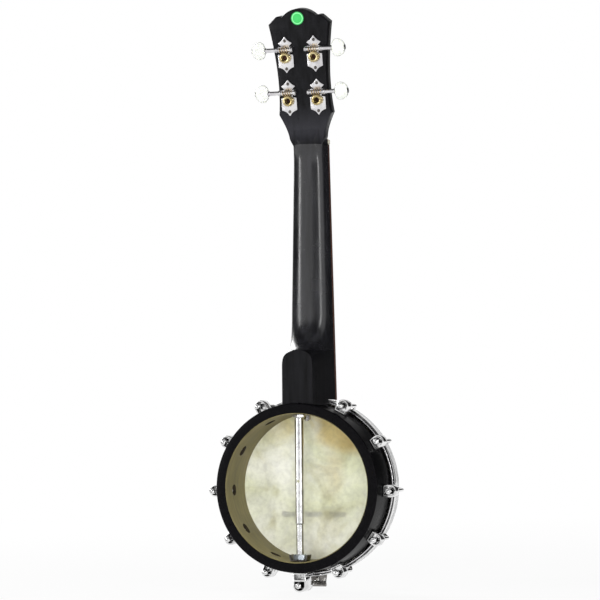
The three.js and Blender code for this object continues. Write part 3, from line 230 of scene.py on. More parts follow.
# %% [markdown]
# A black card stands far behind the instrument, on the right. It throws no shadow and no camera sees it: it is there
# so that the instrument's right side mirrors black and stands out dark against the white backdrop.

# %% Black flag
flag_place = Vector((0.95, 1.25, 0.15))
flag_turn = (flag_place - lamp_target).to_track_quat("Z", "Y").to_euler()
bpy.ops.mesh.primitive_plane_add(size=1.3, location=flag_place, rotation=flag_turn)
flag = bpy.context.object
flag.name = "black_flag"
flag_cloth = bpy.data.materials.new("black_cloth")
flag_cloth.use_nodes = True
paint = flag_cloth.node_tree.nodes["Principled BSDF"]
paint.inputs["Base Color"].default_value = grey(0.01)
paint.inputs["Roughness"].default_value = 1
flag.data.materials.append(flag_cloth)
flag.visible_camera = flag.visible_diffuse = flag.visible_shadow = flag.visible_transmission = False
print("flag at", flag_place)

# %% [markdown]
# ## Finishes
# Every finish is made of noise and ramps on Object coordinates, so nothing has to be unwrapped and no picture is
# needed. Noise scales count how many blobs fit in a metre: 40 gives blobs of 25 mm, 1500 gives fine speckle.

# %% What every finish starts from
def new_finish(name, roughness, metallic=0.0):
    """A material, with its node tree, its shader and its Object coordinates."""
    finish = bpy.data.materials.new(name)
    finish.use_nodes = True
    shader = finish.node_tree.nodes["Principled BSDF"]
    shader.inputs["Roughness"].default_value = roughness
    shader.inputs["Metallic"].default_value = metallic
    place = add_node(finish.node_tree, "ShaderNodeTexCoord").outputs["Object"]
    return finish, finish.node_tree, shader, place


def noise(tree, place, scale, stretch=(1, 1, 1), detail=4, distortion=0.0):
    """Noise of so many blobs in a metre, squeezed or stretched along the axes."""
    mapping = add_node(tree, "ShaderNodeMapping", {"Vector": place, "Scale": stretch})
    return add_node(tree, "ShaderNodeTexNoise", {
        "Vector": mapping.outputs[0], "Scale": scale, "Detail": detail, "Distortion": distortion}).outputs["Fac"]


def coat(tree, shader, shade, wander, low, high, relief=None, depth=0.0):
    """Link a finish's colour, let its roughness wander between two values, and give it a fine relief."""
    tree.links.new(shade, shader.inputs["Base Color"])
    spread = {"Value": wander, "From Min": 0.3, "From Max": 0.7, "To Min": low, "To Max": high}
    tree.links.new(add_node(tree, "ShaderNodeMapRange", spread).outputs["Result"], shader.inputs["Roughness"])
    if relief:
        bump = add_node(tree, "ShaderNodeBump", {"Height": relief, "Distance": depth})
        tree.links.new(bump.outputs["Normal"], shader.inputs["Normal"])


# %% [markdown]
# ### Black lacquer over wood
# The neck, headstock and the outside of the rim are painted satin black. A dead flat black looks like plastic, so
# long grain shows through as faint grey streaks, fine dust makes pale speckle, and the sheen wanders a little. The
# back of the shaft is rubbed to a gloss by the hand, so it gets a glossier sort of its own, whose paler base colour
# is painted sheen.

# %% Black lacquer
def black_lacquer(name, grain, dark, pale, roughness, sheen):
    """Black paint through which the grain shows, with dust on it."""
    finish, tree, shader, place = new_finish(name, roughness)
    streaks = noise(tree, place, 260, grain, detail=6)
    speckle = noise(tree, place, 2600, detail=2)
    base = ramp(tree, streaks, [(0.3, dark), (0.72, pale)])
    dust = ramp(tree, speckle, [(0.56, grey(0)), (0.75, grey(0.016))])
    dusty, smears = mixed(tree, 1.0, base, dust, "ADD"), noise(tree, place, 45)
    coat(tree, shader, dusty, smears, roughness - 0.06, roughness + 0.08, streaks, 0.00006)
    shader.inputs["Specular IOR Level"].default_value = sheen
    return finish


along_neck, along_bridge, round_rim = (1, 1, 0.06), (0.1, 1, 1), (1, 0.15, 1)
black_wood = black_lacquer("black_wood", along_neck, colour(4, 4, 5), colour(23, 23, 26), 0.32, 0.12)
# The shaft's sort: a glossier coat, and a paler base colour than black_wood that paints part of the shaft's sheen.
glossy_black_painted_sheen = black_lacquer("glossy_black_painted_sheen", along_neck, colour(11, 11, 13), colour(32, 32, 36), 0.23, 0.68)
rim_black = black_lacquer("rim_black", round_rim, colour(2, 2, 3), colour(9, 8, 11), 0.3, 0.06)

# %% Painted highlight where the headstock meets the shaft
# A painted highlight: the lacquer is painted paler in a band where the headstock meets the shaft, along the volute's
# crease.
tree = black_wood.node_tree
place = add_node(tree, "ShaderNodeTexCoord").outputs["Object"]
height = add_node(tree, "ShaderNodeSeparateXYZ", {0: place}).outputs["Z"]
reach = add_node(tree, "ShaderNodeMapRange", {"Value": height, "From Min": -0.03, "From Max": 0.05})
painted_highlight = ramp(tree, reach.outputs["Result"], [
    (0.36, grey(0)), (0.49, colour(36, 36, 40)), (0.56, colour(38, 38, 42)), (0.82, grey(0)),
])
wood_colour = tree.nodes["Principled BSDF"].inputs["Base Color"]
painted = wood_colour.links[0].from_socket
tree.links.new(mixed(tree, 1.0, painted, painted_highlight, "ADD"), wood_colour)

# %% [markdown]
# ### Inner wall of the rim
# Inside, the rim is stained wood, an olive tan with darker clouds. Its grain runs round the pot, which from inside
# is close to bands across the depth, so the noise is squeezed along the Y axis. The holes show bare wood,
# darkened by painted shade.

# %% Olive wood
rim_inside, tree, shader, place = new_finish("rim_inside", 0.6)
bands = noise(tree, place, 130, (0.35, 2.2, 0.35), detail=6, distortion=0.4)
clouds = noise(tree, place, 22, detail=3)
wood = ramp(tree, bands, [(0.25, colour(104, 96, 62)), (0.5, colour(126, 117, 78)), (0.78, colour(146, 136, 94))])
stain = ramp(tree, clouds, [(0.3, grey(0.72)), (0.7, grey(1))])
coat(tree, shader, mixed(tree, 1.0, wood, stain, "MULTIPLY"), bands, 0.5, 0.7, bands, 0.00008)

# %% Bare wood in the holes, darkened by painted shade
hole_wood_painted_shade, tree, shader, place = new_finish("hole_wood_painted_shade", 0.7)
drilled = noise(tree, place, 420, (1, 2.5, 1), detail=5)
dark = ramp(tree, drilled, [(0.3, colour(26, 22, 15)), (0.6, colour(58, 51, 37))])
coat(tree, shader, dark, drilled, 0.6, 0.8, drilled, 0.0001)

# %% [markdown]
# ### Rosewood, maple and bone
# The fretboard is brown with dark pores along it, the bridge is pale maple with an ebony cap, and the nut is ivory
# coloured. One helper makes the three woods, because only their colours and the size of the grain differ.

# %% Woods with open grain
def open_wood(name, grain, scale, shades, roughness):
    """Wood with fibres in three shades and dark pores."""
    finish, tree, shader, place = new_finish(name, roughness)
    fibres = noise(tree, place, scale, grain, detail=8, distortion=0.3)
    pores = noise(tree, place, scale * 6, grain, detail=2)
    base = ramp(tree, fibres, [(0.28, shades[0]), (0.5, shades[1]), (0.74, shades[2])])
    dark = ramp(tree, pores, [(0.32, grey(0.45)), (0.42, grey(1))])
    grained = mixed(tree, 1.0, base, dark, "MULTIPLY")
    coat(tree, shader, grained, fibres, roughness - 0.08, roughness + 0.1, pores, 0.00005)
    return finish


rosewood_shades = (colour(44, 24, 17), colour(70, 40, 27), colour(98, 60, 41))
rosewood = open_wood("rosewood", along_neck, 190, rosewood_shades, 0.5)
maple_shades = (colour(176, 134, 82), colour(208, 168, 112), colour(226, 192, 140))
maple = open_wood("maple", along_bridge, 240, maple_shades, 0.45)
ebony_shades = (colour(18, 14, 12), colour(30, 25, 22), colour(46, 38, 33))
ebony = open_wood("ebony", along_bridge, 300, ebony_shades, 0.35)

bone, tree, shader, place = new_finish("bone", 0.35)
bands = noise(tree, place, 320, (1, 1, 0.2))
cream = ramp(tree, bands, [(0.3, colour(222, 214, 190)), (0.7, colour(240, 235, 219))])
coat(tree, shader, cream, noise(tree, place, 900), 0.28, 0.45)
shader.inputs["Subsurface Weight"].default_value = 0.15
shader.inputs["Subsurface Radius"].default_value = (0.001, 0.0007, 0.0004)

# %% [markdown]
# ### Parchment skin
# The head is a thin mottled skin: cream, with greenish and yellow clouds, and one ochre patch near the neck on the
# right. Light from the other side passes through it, so the bridge's feet show as soft shadows. Translucency gives
# those shadows for nothing, where painting them would be guesswork.

# %% Parchment
pot_middle = Vector((0, -0.0561, -0.32))


def patch(tree, place, middle, size):
    """1 at the middle, falling to 0 at the edge of a soft ellipsoid."""
    scale, shift = tuple(1 / s for s in size), tuple(-m / s for m, s in zip(middle, size))
    mapping = add_node(tree, "ShaderNodeMapping", {"Vector": place, "Scale": scale, "Location": shift})
    inside = {"Vector": mapping.outputs[0]}
    return add_node(tree, "ShaderNodeTexGradient", inside, gradient_type="SPHERICAL").outputs["Fac"]


parchment, tree, shader, place = new_finish("parchment", 0.5)
clouds = noise(tree, place, 30, detail=7, distortion=0.8)
greenish = noise(tree, place, 16, detail=5, distortion=0.5)
fine = noise(tree, place, 240, detail=5)
base = ramp(tree, clouds, [
    (0.3, colour(222, 219, 195)), (0.4, colour(240, 239, 223)), (0.5, colour(250, 250, 241)),
    (0.66, colour(254, 254, 248)),
])
tint = ramp(tree, greenish, [(0.38, colour(255, 255, 255)), (0.64, colour(243, 245, 230))])
skin = mixed(tree, 1.0, base, tint, "MULTIPLY")
# Each patch has its middle and size across and up in metres, its depth in thin and thick clouds, and its shade.
patches = (
    ((0.05, 0.056), (0.052, 0.03), (4.6, 1.7), colour(220, 204, 148)),
    ((0.012, 0.058), (0.07, 0.022), (1.6, 0.2), colour(236, 224, 176)),
    ((0.021, 0.012), (0.012, 0.036), (0.9, 0.1), colour(236, 230, 202)),
    ((-0.03, 0.04), (0.024, 0.02), (0.8, 0), colour(240, 238, 212)),
)
for (x, z), (wide, high), (thin, thick), shade in patches:
    reach = patch(tree, place, (pot_middle.x + x, -0.004, pot_middle.z + z), (wide, 0.2, high))
    strength = ramp(tree, clouds, [(0.34, grey(thin)), (0.6, grey(thick))])
    broken = add_node(tree, "ShaderNodeMath", {0: reach, 1: strength}, operation="MULTIPLY", use_clamp=True)
    skin = mixed(tree, broken.outputs[0], skin, shade)
veins = noise(tree, place, 95, detail=6, distortion=0.6)
for texture, stops in ((fine, [(0.34, grey(0.9)), (0.6, grey(1))]), (veins, [(0.36, grey(0.92)), (0.5, grey(1))])):
    skin = mixed(tree, 1.0, skin, ramp(tree, texture, stops), "MULTIPLY")
coat(tree, shader, skin, fine, 0.4, 0.6, fine, 0.00004)
surface(tree, "Material Output", 0.45, shader, add_node(tree, "ShaderNodeBsdfTranslucent", {"Color": skin}))

# %% [markdown]
# ### Metals
# Chrome, nickel, brass and steel differ in tint and polish. Each has smudges in its tint and roughness, and a slight
# waviness from casting and buffing, because a perfect mirror looks drawn.

# %% Plated metals
def plated(name, pale, dull, low, high, ripple):
    """Metal between a pale and a dull tint, and between a low and a high roughness, with fine ripples."""
    finish, tree, shader, place = new_finish(name, low, 1.0)
    smudged = ramp(tree, noise(tree, place, 110, detail=5), [(0.35, dull), (0.6, pale)])
    polish, waves = noise(tree, place, 420, detail=3), noise(tree, place, 170, detail=2)
    coat(tree, shader, smudged, polish, low, high, waves, ripple)
    return finish


chrome = plated("chrome", grey(0.86), grey(0.66), 0.07, 0.16, 0.00004)
nickel = plated("nickel", colour(232, 231, 232), colour(202, 200, 203), 0.17, 0.32, 0.00003)
smoked_nickel = plated("smoked_nickel", colour(150, 147, 144), colour(98, 95, 92), 0.14, 0.28, 0.00004)
zinc = plated("zinc", colour(196, 203, 208), colour(152, 160, 168), 0.24, 0.4, 0.00004)
brass = plated("brass", colour(220, 204, 156), colour(182, 162, 108), 0.22, 0.38, 0.00003)
worm_brass = plated("worm_brass", colour(214, 196, 166), colour(176, 154, 120), 0.2, 0.36, 0.00003)
screw_steel = plated("screw_steel", colour(120, 116, 112), colour(84, 80, 78), 0.25, 0.4, 0.00003)
# Steel for the washers in the counterbores and the screws deep in the gears, darkened by painted shade.
steel_painted_shade = plated("steel_painted_shade", colour(74, 52, 46), colour(44, 30, 30), 0.35, 0.5, 0.00003)

# %% [markdown]
# ### Label paper
# The blank label is green paper with a paler ring. The ring is drawn by the distance from the label's middle, so it
# needs a gradient and a ramp but no picture.

# %% Label paper
label_green, tree, shader, place = new_finish("label_green", 0.55)
head_back, head_lean = -13.7, math.radians(12.25)
label_middle = Matrix.Rotation(head_lean, 3, "X") @ Vector((-0.0004, 0, 0.117)) + Vector((0, head_back / 1000, 0))
disc = patch(tree, place, label_middle, (0.0061, 0.0061, 0.0061))
ring = ramp(tree, disc, [
    (0.0, colour(40, 170, 82)), (0.1, colour(44, 180, 86)), (0.14, colour(140, 232, 160)),
    (0.24, colour(140, 232, 160)), (0.3, colour(54, 190, 92)), (1, colour(70, 198, 104)),
])
fibres = ramp(tree, noise(tree, place, 2400, detail=3), [(0.3, grey(0.86)), (0.7, grey(1))])
coat(tree, shader, mixed(tree, 1.0, ring, fibres, "MULTIPLY"), noise(tree, place, 900), 0.45, 0.65)

# %% [markdown]
# ### Pearl buttons and clear strings
# The buttons are milky pearl plastic with swirls, and light gets a little way into them. The strings are clear
# nylon: slightly milky, with a soft gloss.

# %% Pearl
pearl, tree, shader, place = new_finish("pearl", 0.2)
swirl = noise(tree, place, 190, (1, 1, 0.6), detail=5, distortion=2.5)
milk = ramp(tree, swirl, [(0.3, colour(210, 214, 207)), (0.5, colour(227, 229, 223)), (0.7, colour(238, 239, 235))])
coat(tree, shader, milk, noise(tree, place, 600), 0.14, 0.3)
shader.inputs["Subsurface Weight"].default_value = 0.4
shader.inputs["Subsurface Radius"].default_value = (0.004, 0.004, 0.0035)
shader.inputs["Coat Weight"].default_value = 0.5
shader.inputs["Coat Roughness"].default_value = 0.08

# %% Nylon
nylon, tree, shader, place = new_finish("nylon", 0.3)
threads = noise(tree, place, 700, (1, 1, 0.1))
milky = ramp(tree, threads, [(0.3, colour(206, 203, 192)), (0.7, colour(234, 232, 224))])
coat(tree, shader, milky, noise(tree, place, 1500), 0.25, 0.4)
shader.inputs["Transmission Weight"].default_value = 0.25

# %% [markdown]
# ### The frame's own pieces
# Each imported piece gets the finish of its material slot. The pieces made further on replace them one by one, and a
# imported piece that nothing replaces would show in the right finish.

# %% Dress the frame
finish_of_slot = {
    "black_wood": black_wood, "rim_wood": rim_black, "rosewood": rosewood, "bone": bone, "maple": maple,
    "parchment": parchment, "chrome": chrome, "nickel": nickel, "nylon": nylon, "brass": brass, "pearl": pearl,
}
slot_of = {part["node"]: part["material_slot"] for part in frame["record"]["subparts"]}
for name, node in nodes.items():
    node.data.materials.clear()
    node.data.materials.append(finish_of_slot[slot_of[name]])
print("dressed", len(slot_of), "nodes in", len(finish_of_slot), "finishes")

# %% [markdown]
# ## The bench
# The pieces that follow are drawn in millimetres round an axis of their own, because that is how one thinks about
# a nut or a hoop. One matrix shrinks millimetres to metres and others set the pot, the headstock and the brackets
# in place. Three ways of making cover nearly everything: a lathe for round things, an outline with rounded edges
# for flat things, and a wire for bent rods. Booleans drill holes, and are applied at once. Pieces that touch in
# real life mostly stand 0.3 mm apart here, and that is the gap.

# %% Places on the instrument
millimetre = Matrix.Scale(0.001, 4)
pot_z, gap = -320, 0.3
pot_place = Matrix.Translation((0, -56.1, pot_z))
head_place = Matrix.Translation((0, head_back, 0)) @ Matrix.Rotation(head_lean, 4, "X")
along_x = Matrix.Rotation(math.pi / 2, 4, "Y")
along_y = Matrix.Rotation(-math.pi / 2, 4, "X")
facing_back = Matrix.Rotation(math.pi / 2, 4, "X")
across = Matrix(((0, 0, 1, 0), (1, 0, 0, 0), (0, 1, 0, 0), (0, 0, 0, 1)))
still = Matrix.Identity(4)


def at(x, y, z):
    """A shift by so many millimetres."""
    return Matrix.Translation((x, y, z))


# %% Selecting and lathing
def alone(piece):
    """Select one object and nothing else, because operators act on all that is selected."""
    bpy.ops.object.select_all(action="DESELECT")
    piece.select_set(True)
    bpy.context.view_layer.objects.active = piece
    return piece


def cleaned(piece, reach):
    """Merge points that lie within a reach of each other, and turn all faces outwards."""
    alone(piece)
    bpy.ops.object.mode_set(mode="EDIT")
    bpy.ops.mesh.select_all(action="SELECT")
    bpy.ops.mesh.remove_doubles(threshold=reach)
    bpy.ops.mesh.normals_make_consistent(inside=False)
    bpy.ops.object.mode_set(mode="OBJECT")
    return piece


def lathe(name, profile, steps):
    """Extrude one corner along (radius, height) points, then spin that line round the Z axis."""
    bpy.ops.mesh.primitive_plane_add(size=1)
    piece = bpy.context.object
    piece.name = name
    bpy.ops.object.mode_set(mode="EDIT")
    bpy.ops.mesh.select_all(action="SELECT")
    bpy.ops.mesh.merge(type="CENTER")
    radius, height = profile[0]
    bpy.ops.transform.translate(value=(radius, 0, height))
    for next_radius, next_height in profile[1:]:
        step = (next_radius - radius, 0, next_height - height)
        bpy.ops.mesh.extrude_vertices_move(TRANSFORM_OT_translate={"value": step})
        radius, height = next_radius, next_height
    bpy.ops.mesh.select_all(action="SELECT")
    bpy.ops.mesh.spin(steps=steps, angle=math.tau, center=(0, 0, 0), axis=(0, 0, 1))
    bpy.ops.object.mode_set(mode="OBJECT")
    return cleaned(piece, 0.005)


def raised(base, *points):
    """(radius, height) points of a profile whose heights are measured from a base."""
    return [(radius, base + height) for radius, height in points]


# %% Flat pieces
def outline(start, *steps):
    """The right side of an outline as (control, corner) steps, with its mirror image, as a closed loop."""
    def flip(point):
        return point and (-point[0], point[1])

    right_side, here = [], start
    for control, corner in steps:
        right_side.append((here, control, corner))
        here = corner
    loop = list(right_side)
    if here[0] > 0:
        loop.append((here, None, flip(here)))
    loop += [(flip(to), flip(control), flip(origin)) for origin, control, to in reversed(right_side)]
    if start[0] > 0:
        loop.append((flip(start), None, start))
    return loop


def polygon(*corners):
    """A closed loop of straight sides."""
    return [(a, None, b) for a, b in zip(corners, corners[1:] + corners[:1])]


def plate(name, loop, depth, edge=0.0, smooth=10):
    """A flat piece between Z 0 and its depth. The curve's own bevel rounds the edges, which keeps them even."""
    curve = bpy.data.curves.new(name, "CURVE")
    curve.dimensions, curve.fill_mode, curve.resolution_u = "2D", "BOTH", smooth
    curve.extrude, curve.bevel_depth, curve.bevel_resolution, curve.offset = depth / 2 - edge, edge, 1, -edge
    spline = curve.splines.new("BEZIER")
    spline.bezier_points.add(len(loop) - 1)
    spline.use_cyclic_u = True
    points = spline.bezier_points
    for index, (origin, control, to) in enumerate(loop):
        before, after, share = Vector((*origin, 0)), Vector((*to, 0)), 2 / 3 if control else 1 / 3
        points[index].co = before
        points[index].handle_right = before.lerp(Vector((*(control or to), 0)), share)
        points[(index + 1) % len(loop)].handle_left = after.lerp(Vector((*(control or origin), 0)), share)
    return curve_to_mesh(name, curve, at(0, 0, depth / 2))


def curve_to_mesh(name, curve, place=still):
    """The solid that a curve with a depth or a bevel stands for."""
    piece = bpy.data.objects.new(name, curve)
    bpy.context.collection.objects.link(piece)
    alone(piece)
    bpy.ops.object.convert(target="MESH")
    piece = cleaned(bpy.context.object, 0.001)
    piece.data.transform(place)
    return piece


# %% Bent rods
def arc(across_middle, along_middle, radius, start, end):
    """Nine points of a bend in the plane of Y and Z, with angles counted from Z towards Y."""
    angles = [start + (end - start) * i / 8 for i in range(9)]
    return [(0, across_middle + radius * math.sin(a), along_middle + radius * math.cos(a)) for a in angles]


def wire(name, points, radius, roundness):
    """A rod that follows points: a curve with a round bevel and closed ends, made into a mesh."""
    curve = bpy.data.curves.new(name, "CURVE")
    curve.dimensions, curve.bevel_depth, curve.bevel_resolution, curve.use_fill_caps = "3D", radius, roundness, True
    spline = curve.splines.new("POLY")
    spline.points.add(len(points) - 1)
    for target, point in zip(spline.points, points):
        target.co = (*point, 1)
    return curve_to_mesh(name, curve)


# %% Fuller curves
def full(value, fullness):
    """A sine or cosine of a circle, pushed out towards a square. A fullness of 2 leaves it round."""
    return math.copysign(abs(value) ** (2 / fullness), value)


# %% Drilling, joining and softening
def carve(piece, tool, operation="DIFFERENCE"):
    """Cut one piece with another, which is thrown away afterwards."""
    alone(piece)
    change = piece.modifiers.new("carve", "BOOLEAN")
    change.object, change.operation, change.solver = tool, operation, "EXACT"
    bpy.ops.object.modifier_apply(modifier=change.name)
    bpy.data.objects.remove(tool)
    return piece


def soften(piece, width, angle=40):
    """Round every edge that is sharper than the angle, as a polisher would."""
    alone(piece)
    change = piece.modifiers.new("soften", "BEVEL")
    change.width, change.segments, change.angle_limit = width, 2, math.radians(angle)
    bpy.ops.object.modifier_apply(modifier=change.name)
    return piece


def cylinder(radius, start, end, place=still, sides=32):
    """A cylinder or prism from start to end along Z before it is placed."""
    bpy.ops.mesh.primitive_cylinder_add(vertices=sides, radius=radius, depth=end - start)
    bpy.context.object.data.transform(place @ at(0, 0, (start + end) / 2))
    return bpy.context.object


def drill(piece, radius, start, end, place=still, sides=32):
    """Make a round hole, from start to end along Z before it is placed."""
    return carve(piece, cylinder(radius, start, end, place, sides))


def block(low, high, place=still):
    """A box between two corners."""
    bpy.ops.mesh.primitive_cube_add(size=1)
    size = [b - a for a, b in zip(low, high)]
    middle = [(a + b) / 2 for a, b in zip(low, high)]
    bpy.context.object.data.transform(place @ at(*middle) @ Matrix.Diagonal((*size, 1)))
    return bpy.context.object


def joined(name, first, *others):
    """Several shells as one object."""
    alone(first)
    for other in others:
        other.select_set(True)
    bpy.ops.object.join()
    first.name = name
    return first


def moved(piece, place):
    """The same piece, after its mesh is moved or turned."""
    piece.data.transform(place)
    return piece


def copied(piece, name):
    """A copy with a mesh of its own, so that it can be set in another place."""
    twin = bpy.data.objects.new(name, piece.data.copy())
    bpy.context.collection.objects.link(twin)
    return twin


def settle(piece, place, finish, stands_for=(), body="instrument", angle=35):
    """Set a piece into the instrument in metres, with its finish and its body. It hides the nodes that it stands for."""
    piece.data.transform(millimetre @ place)
    if finish:
        piece.data.materials.clear()
        piece.data.materials.append(finish)
    alone(piece)
    bpy.ops.object.shade_smooth_by_angle(angle=math.radians(angle))
    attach(piece, body)
    if stands_for:
        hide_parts(*stands_for)
    return piece

# %% [markdown]
# ## The rim
# The pot is a bent wooden hoop, black outside and bare olive wood inside. It could be a cylinder with a hole, but
# then its edges would be razor sharp, so its section is drawn with rounded corners and spun on the lathe. Eleven
# bolts pass through it, each in a counterbore, and the rod and the heel's stud have holes of their own.

# %% Rim
rim_outside, rim_inside_radius, rim_depth = 77.6, 67.9, 52
rim = lathe("rim_turned", [
    (69.4, 0), (76.6, 0), (77.2, 0.25), (77.5, 0.6), (77.6, 1.1), (77.6, rim_depth), (rim_inside_radius, rim_depth),
    (rim_inside_radius, 1.5), (68.2, 0.6), (68.7, 0.15), (69.4, 0),
], 160)
moved(rim, along_y)
bracket_angles = [side * math.radians(28.1 + 32 * step) for step in range(5) for side in (1, -1)]
bolt_height, rod_height, stud_height = 22, 11, 35
counterbore, bolt_hole, rod_hole, stud_hole, tail_hole = 5.2, 2.4, 2.7, 2.3, 2.2
for angle in [*bracket_angles, math.pi]:
    turn = Matrix.Rotation(angle, 4, "Y") @ at(0, bolt_height, 0)
    drill(rim, counterbore, 60, rim_inside_radius + 5, turn, 40)
    drill(rim, bolt_hole, 60, 90, turn, 16)
drill(rim, rod_hole, 60, 90, at(0, rod_height, 0))
drill(rim, stud_hole, 60, 90, at(0, stud_height, 0))
drill(rim, tail_hole, -90, -60, at(0, rod_height, 0))
print("rim:", len(rim.data.polygons), "faces")

# %% Paint the rim's faces
rim.data.materials.clear()
for finish in (rim_black, rim_inside, hole_wood_painted_shade):
    rim.data.materials.append(finish)
for face in rim.data.polygons:
    distance = math.hypot(face.center.x, face.center.z)
    if distance < 68.6 and face.center.y < rim_depth - 0.1:
        face.material_index = 1
    # The counterbores' walls and floors take the bare hole wood, darkened by painted shade.
    if 68.3 < distance < 73.2 and 10 < face.center.y < rim_depth - 10:
        face.material_index = 2
settle(rim, pot_place, None, ["rim"], angle=30)

# %% [markdown]
# ## The skin and its hoops
# The skin is stretched flat over the rim's front edge and turns down round it, where the flesh hoop grips it. The
# bright tension hoop lies over both, with a lip that the hooks pull on. Each is one section on the lathe.

# %% Skin
skin = lathe("skin_stretched", [
    (0, 52.1), (40, 52.1), (66, 52.1), (77.5, 52.1), (77.8, 52.0), (77.9, 51.7), (77.9, 45.1), (78.2, 45.1),
    (78.2, 51.7), (78.1, 52.1), (77.8, 52.35), (77.4, 52.4), (66, 52.4), (40, 52.4), (0, 52.4),
], 128)
settle(skin, pot_place @ along_y, parchment, ["drumhead", "drumhead_collar"], angle=30)

# %% Hoops
flesh = lathe("flesh_hoop_round", [
    (78.5, 41.6), (78.8, 41.1), (79.4, 40.9), (80.2, 40.9), (80.8, 41.2), (81, 41.7), (81, 46.9), (80.7, 47.4),
    (80.2, 47.5), (79.2, 47.5), (78.7, 47.3), (78.5, 46.8), (78.5, 41.6),
], 128)
settle(flesh, pot_place @ along_y, nickel, ["flesh_hoop"], angle=50)
hoop = lathe("tension_hoop_rolled", [
    (81.3, 40.8), (81.6, 40.5), (82.5, 40.5), (82.8, 40.8), (82.8, 47.3), (82.6, 47.7), (82.4, 47.95), (82.4, 54.6),
    (82.2, 55.05), (81.8, 55.2), (79.2, 55.2), (78.8, 55.05), (78.6, 54.7), (78.6, 48.2), (78.8, 47.9), (79, 47.8),
    (81.0, 47.8), (81.3, 47.5), (81.3, 40.8),
], 160)
settle(hoop, pot_place @ along_y, chrome, ["tension_hoop"], angle=40)
print("skin and hoops:", [len(piece.data.polygons) for piece in (skin, flesh, hoop)])

# %% [markdown]
# ## Hooks and shoes
# Ten hooks pull the hoop down. Each is a bent rod with a long nut that sits in a cast shoe, and the shoe is bolted
# through the rim. One hook and one shoe are made, and copies are turned round the pot. The shoe is an outline that
# is flat at the rim and round outside, hollowed from the back, where the nut comes out.

# %% One nut
def long_nut(name, start, end):
    """A six sided nut with turned ends and the tip of its hook in the middle."""
    body = cylinder(3, start, end, sides=6)
    turned = lathe("nut_ends", [
        (0, start), (1.9, start), (2.5, start + 0.25), (3.0, start + 0.9), (3.05, end - 0.6), (2.5, end), (0, end),
    ], 32)
    carve(body, turned, "INTERSECT")
    drill(body, 1.75, start - 1, start + 1.6)
    tip = lathe("hook_tip", raised(start, (0, -0.1), (0.9, 0), (1.45, 0.4), (1.45, 3), (0, 3)), 24)
    return joined(name, body, tip)


shoe_centre, hoop_front = rim_outside + 7.3, 55.2
shoe_mouth, shoe_depth, shoe_half, shoe_wall = 17, 12.5, 5.75, 1.35
nut_end = shoe_mouth + shoe_depth - shoe_wall - gap
nut = moved(long_nut("nut", 8.1, nut_end), at(0, 0, shoe_centre) @ along_y)

# %% One hook
rod_radius, hook_bend = 1.8, 2.6
hook_top = hoop_front + gap + rod_radius
claw = rim_outside + 1 - gap - rod_radius
bent = wire("hook_bent", [
    (0, 12, shoe_centre),
    *arc(hook_top - hook_bend, shoe_centre - hook_bend, hook_bend, 0, math.pi / 2),
    *arc(hook_top - rod_radius, claw + rod_radius, rod_radius, math.pi / 2, math.pi),
    (0, hook_top - 3.6, claw),
], rod_radius, 5)
soften(bent, 0.35, 60)
hook = joined("hook", bent, nut)

# %% One shoe
def bracket_loop(inset, foot, centre, half):
    """Flat at the rim and a half circle at the hook, from eight straight steps on each side."""
    radius, angles = half - inset, [math.pi * (0.5 - i / 16) for i in range(9)]
    turn = [(math.sin(a) * radius, centre + math.cos(a) * radius) for a in angles]
    return outline((radius, foot), *[(None, corner) for corner in turn])


foot = rim_outside + gap
shoe = plate("shoe", bracket_loop(0, foot, shoe_centre, shoe_half), shoe_depth, 0.45, 1)
cup = bracket_loop(shoe_wall, foot + shoe_wall, shoe_centre, shoe_half)
carve(shoe, moved(plate("cup", cup, shoe_depth, 0.0, 1), at(0, 0, shoe_wall)))
drill(shoe, rod_radius + gap, -3, 5, at(0, shoe_centre, 0))
moved(shoe, at(0, shoe_mouth + shoe_depth, 0) @ facing_back)
taper_start = at(0, shoe_mouth + shoe_depth - 3, shoe_centre + shoe_half)
carve(shoe, block((-9, 0, 0), (9, 12, 6), taper_start @ Matrix.Rotation(math.radians(-25), 4, "X")))
soften(shoe, 0.2, 50)
print("shoe:", len(shoe.data.polygons), "faces; hook:", len(hook.data.polygons), "faces")

# %% Bolt through the rim
head_top = rim_inside_radius + 4.1
bolt = lathe("bolt", [
    *raised(head_top, (0, -2.6), (1.3, -2.5), (2.4, -2.1), (3.1, -1.4), (3.4, -0.7), (3.4, -0.4), (4.6, -0.4)),
    (4.6, head_top), (2.1, head_top), (2.1, foot + 0.1), (0, foot + 0.1),
], 32)
carve(bolt, block((-5, -0.5, head_top - 3), (5, 0.5, head_top - 1.5)))
moved(bolt, at(0, bolt_height, 0))
shoe = joined("shoe", shoe, copied(bolt, "bolt_twin"))

# %% Ten copies
def cast(piece, place, node):
    """Set a casting in place. Its bolt's head, inside the rim, is nickel, and the washer under it is steel darkened
    by painted shade.
    """
    settle(piece, place, chrome, [node])
    piece.data.materials.append(steel_painted_shade)
    piece.data.materials.append(nickel)
    for face in piece.data.polygons:
        across_pot = face.center - pot_middle
        distance = math.hypot(across_pot.x, across_pot.z) * 1000
        face.material_index = int(distance < head_top + 0.1) + int(distance < head_top - 0.5)


for index, angle in enumerate(bracket_angles, 1):
    place = pot_place @ Matrix.Rotation(angle, 4, "Y")
    cast(copied(shoe, f"shoe_cast_{index}"), place, f"shoe_{index}")
    settle(copied(hook, f"hook_bent_{index}"), place, chrome, [f"hook_{index}"])
bpy.data.objects.remove(shoe)
bpy.data.objects.remove(hook)

# %% [markdown]
# ## The tail
# At the tail one larger bracket holds a straight hook, which holds the tailpiece down. The bracket has an open cell
# next to the rim and a cup for the nut. The tailpiece is stamped sheet: a lip with square slots for the strings, a
# plate over the hoop, and an end rolled round a bar.

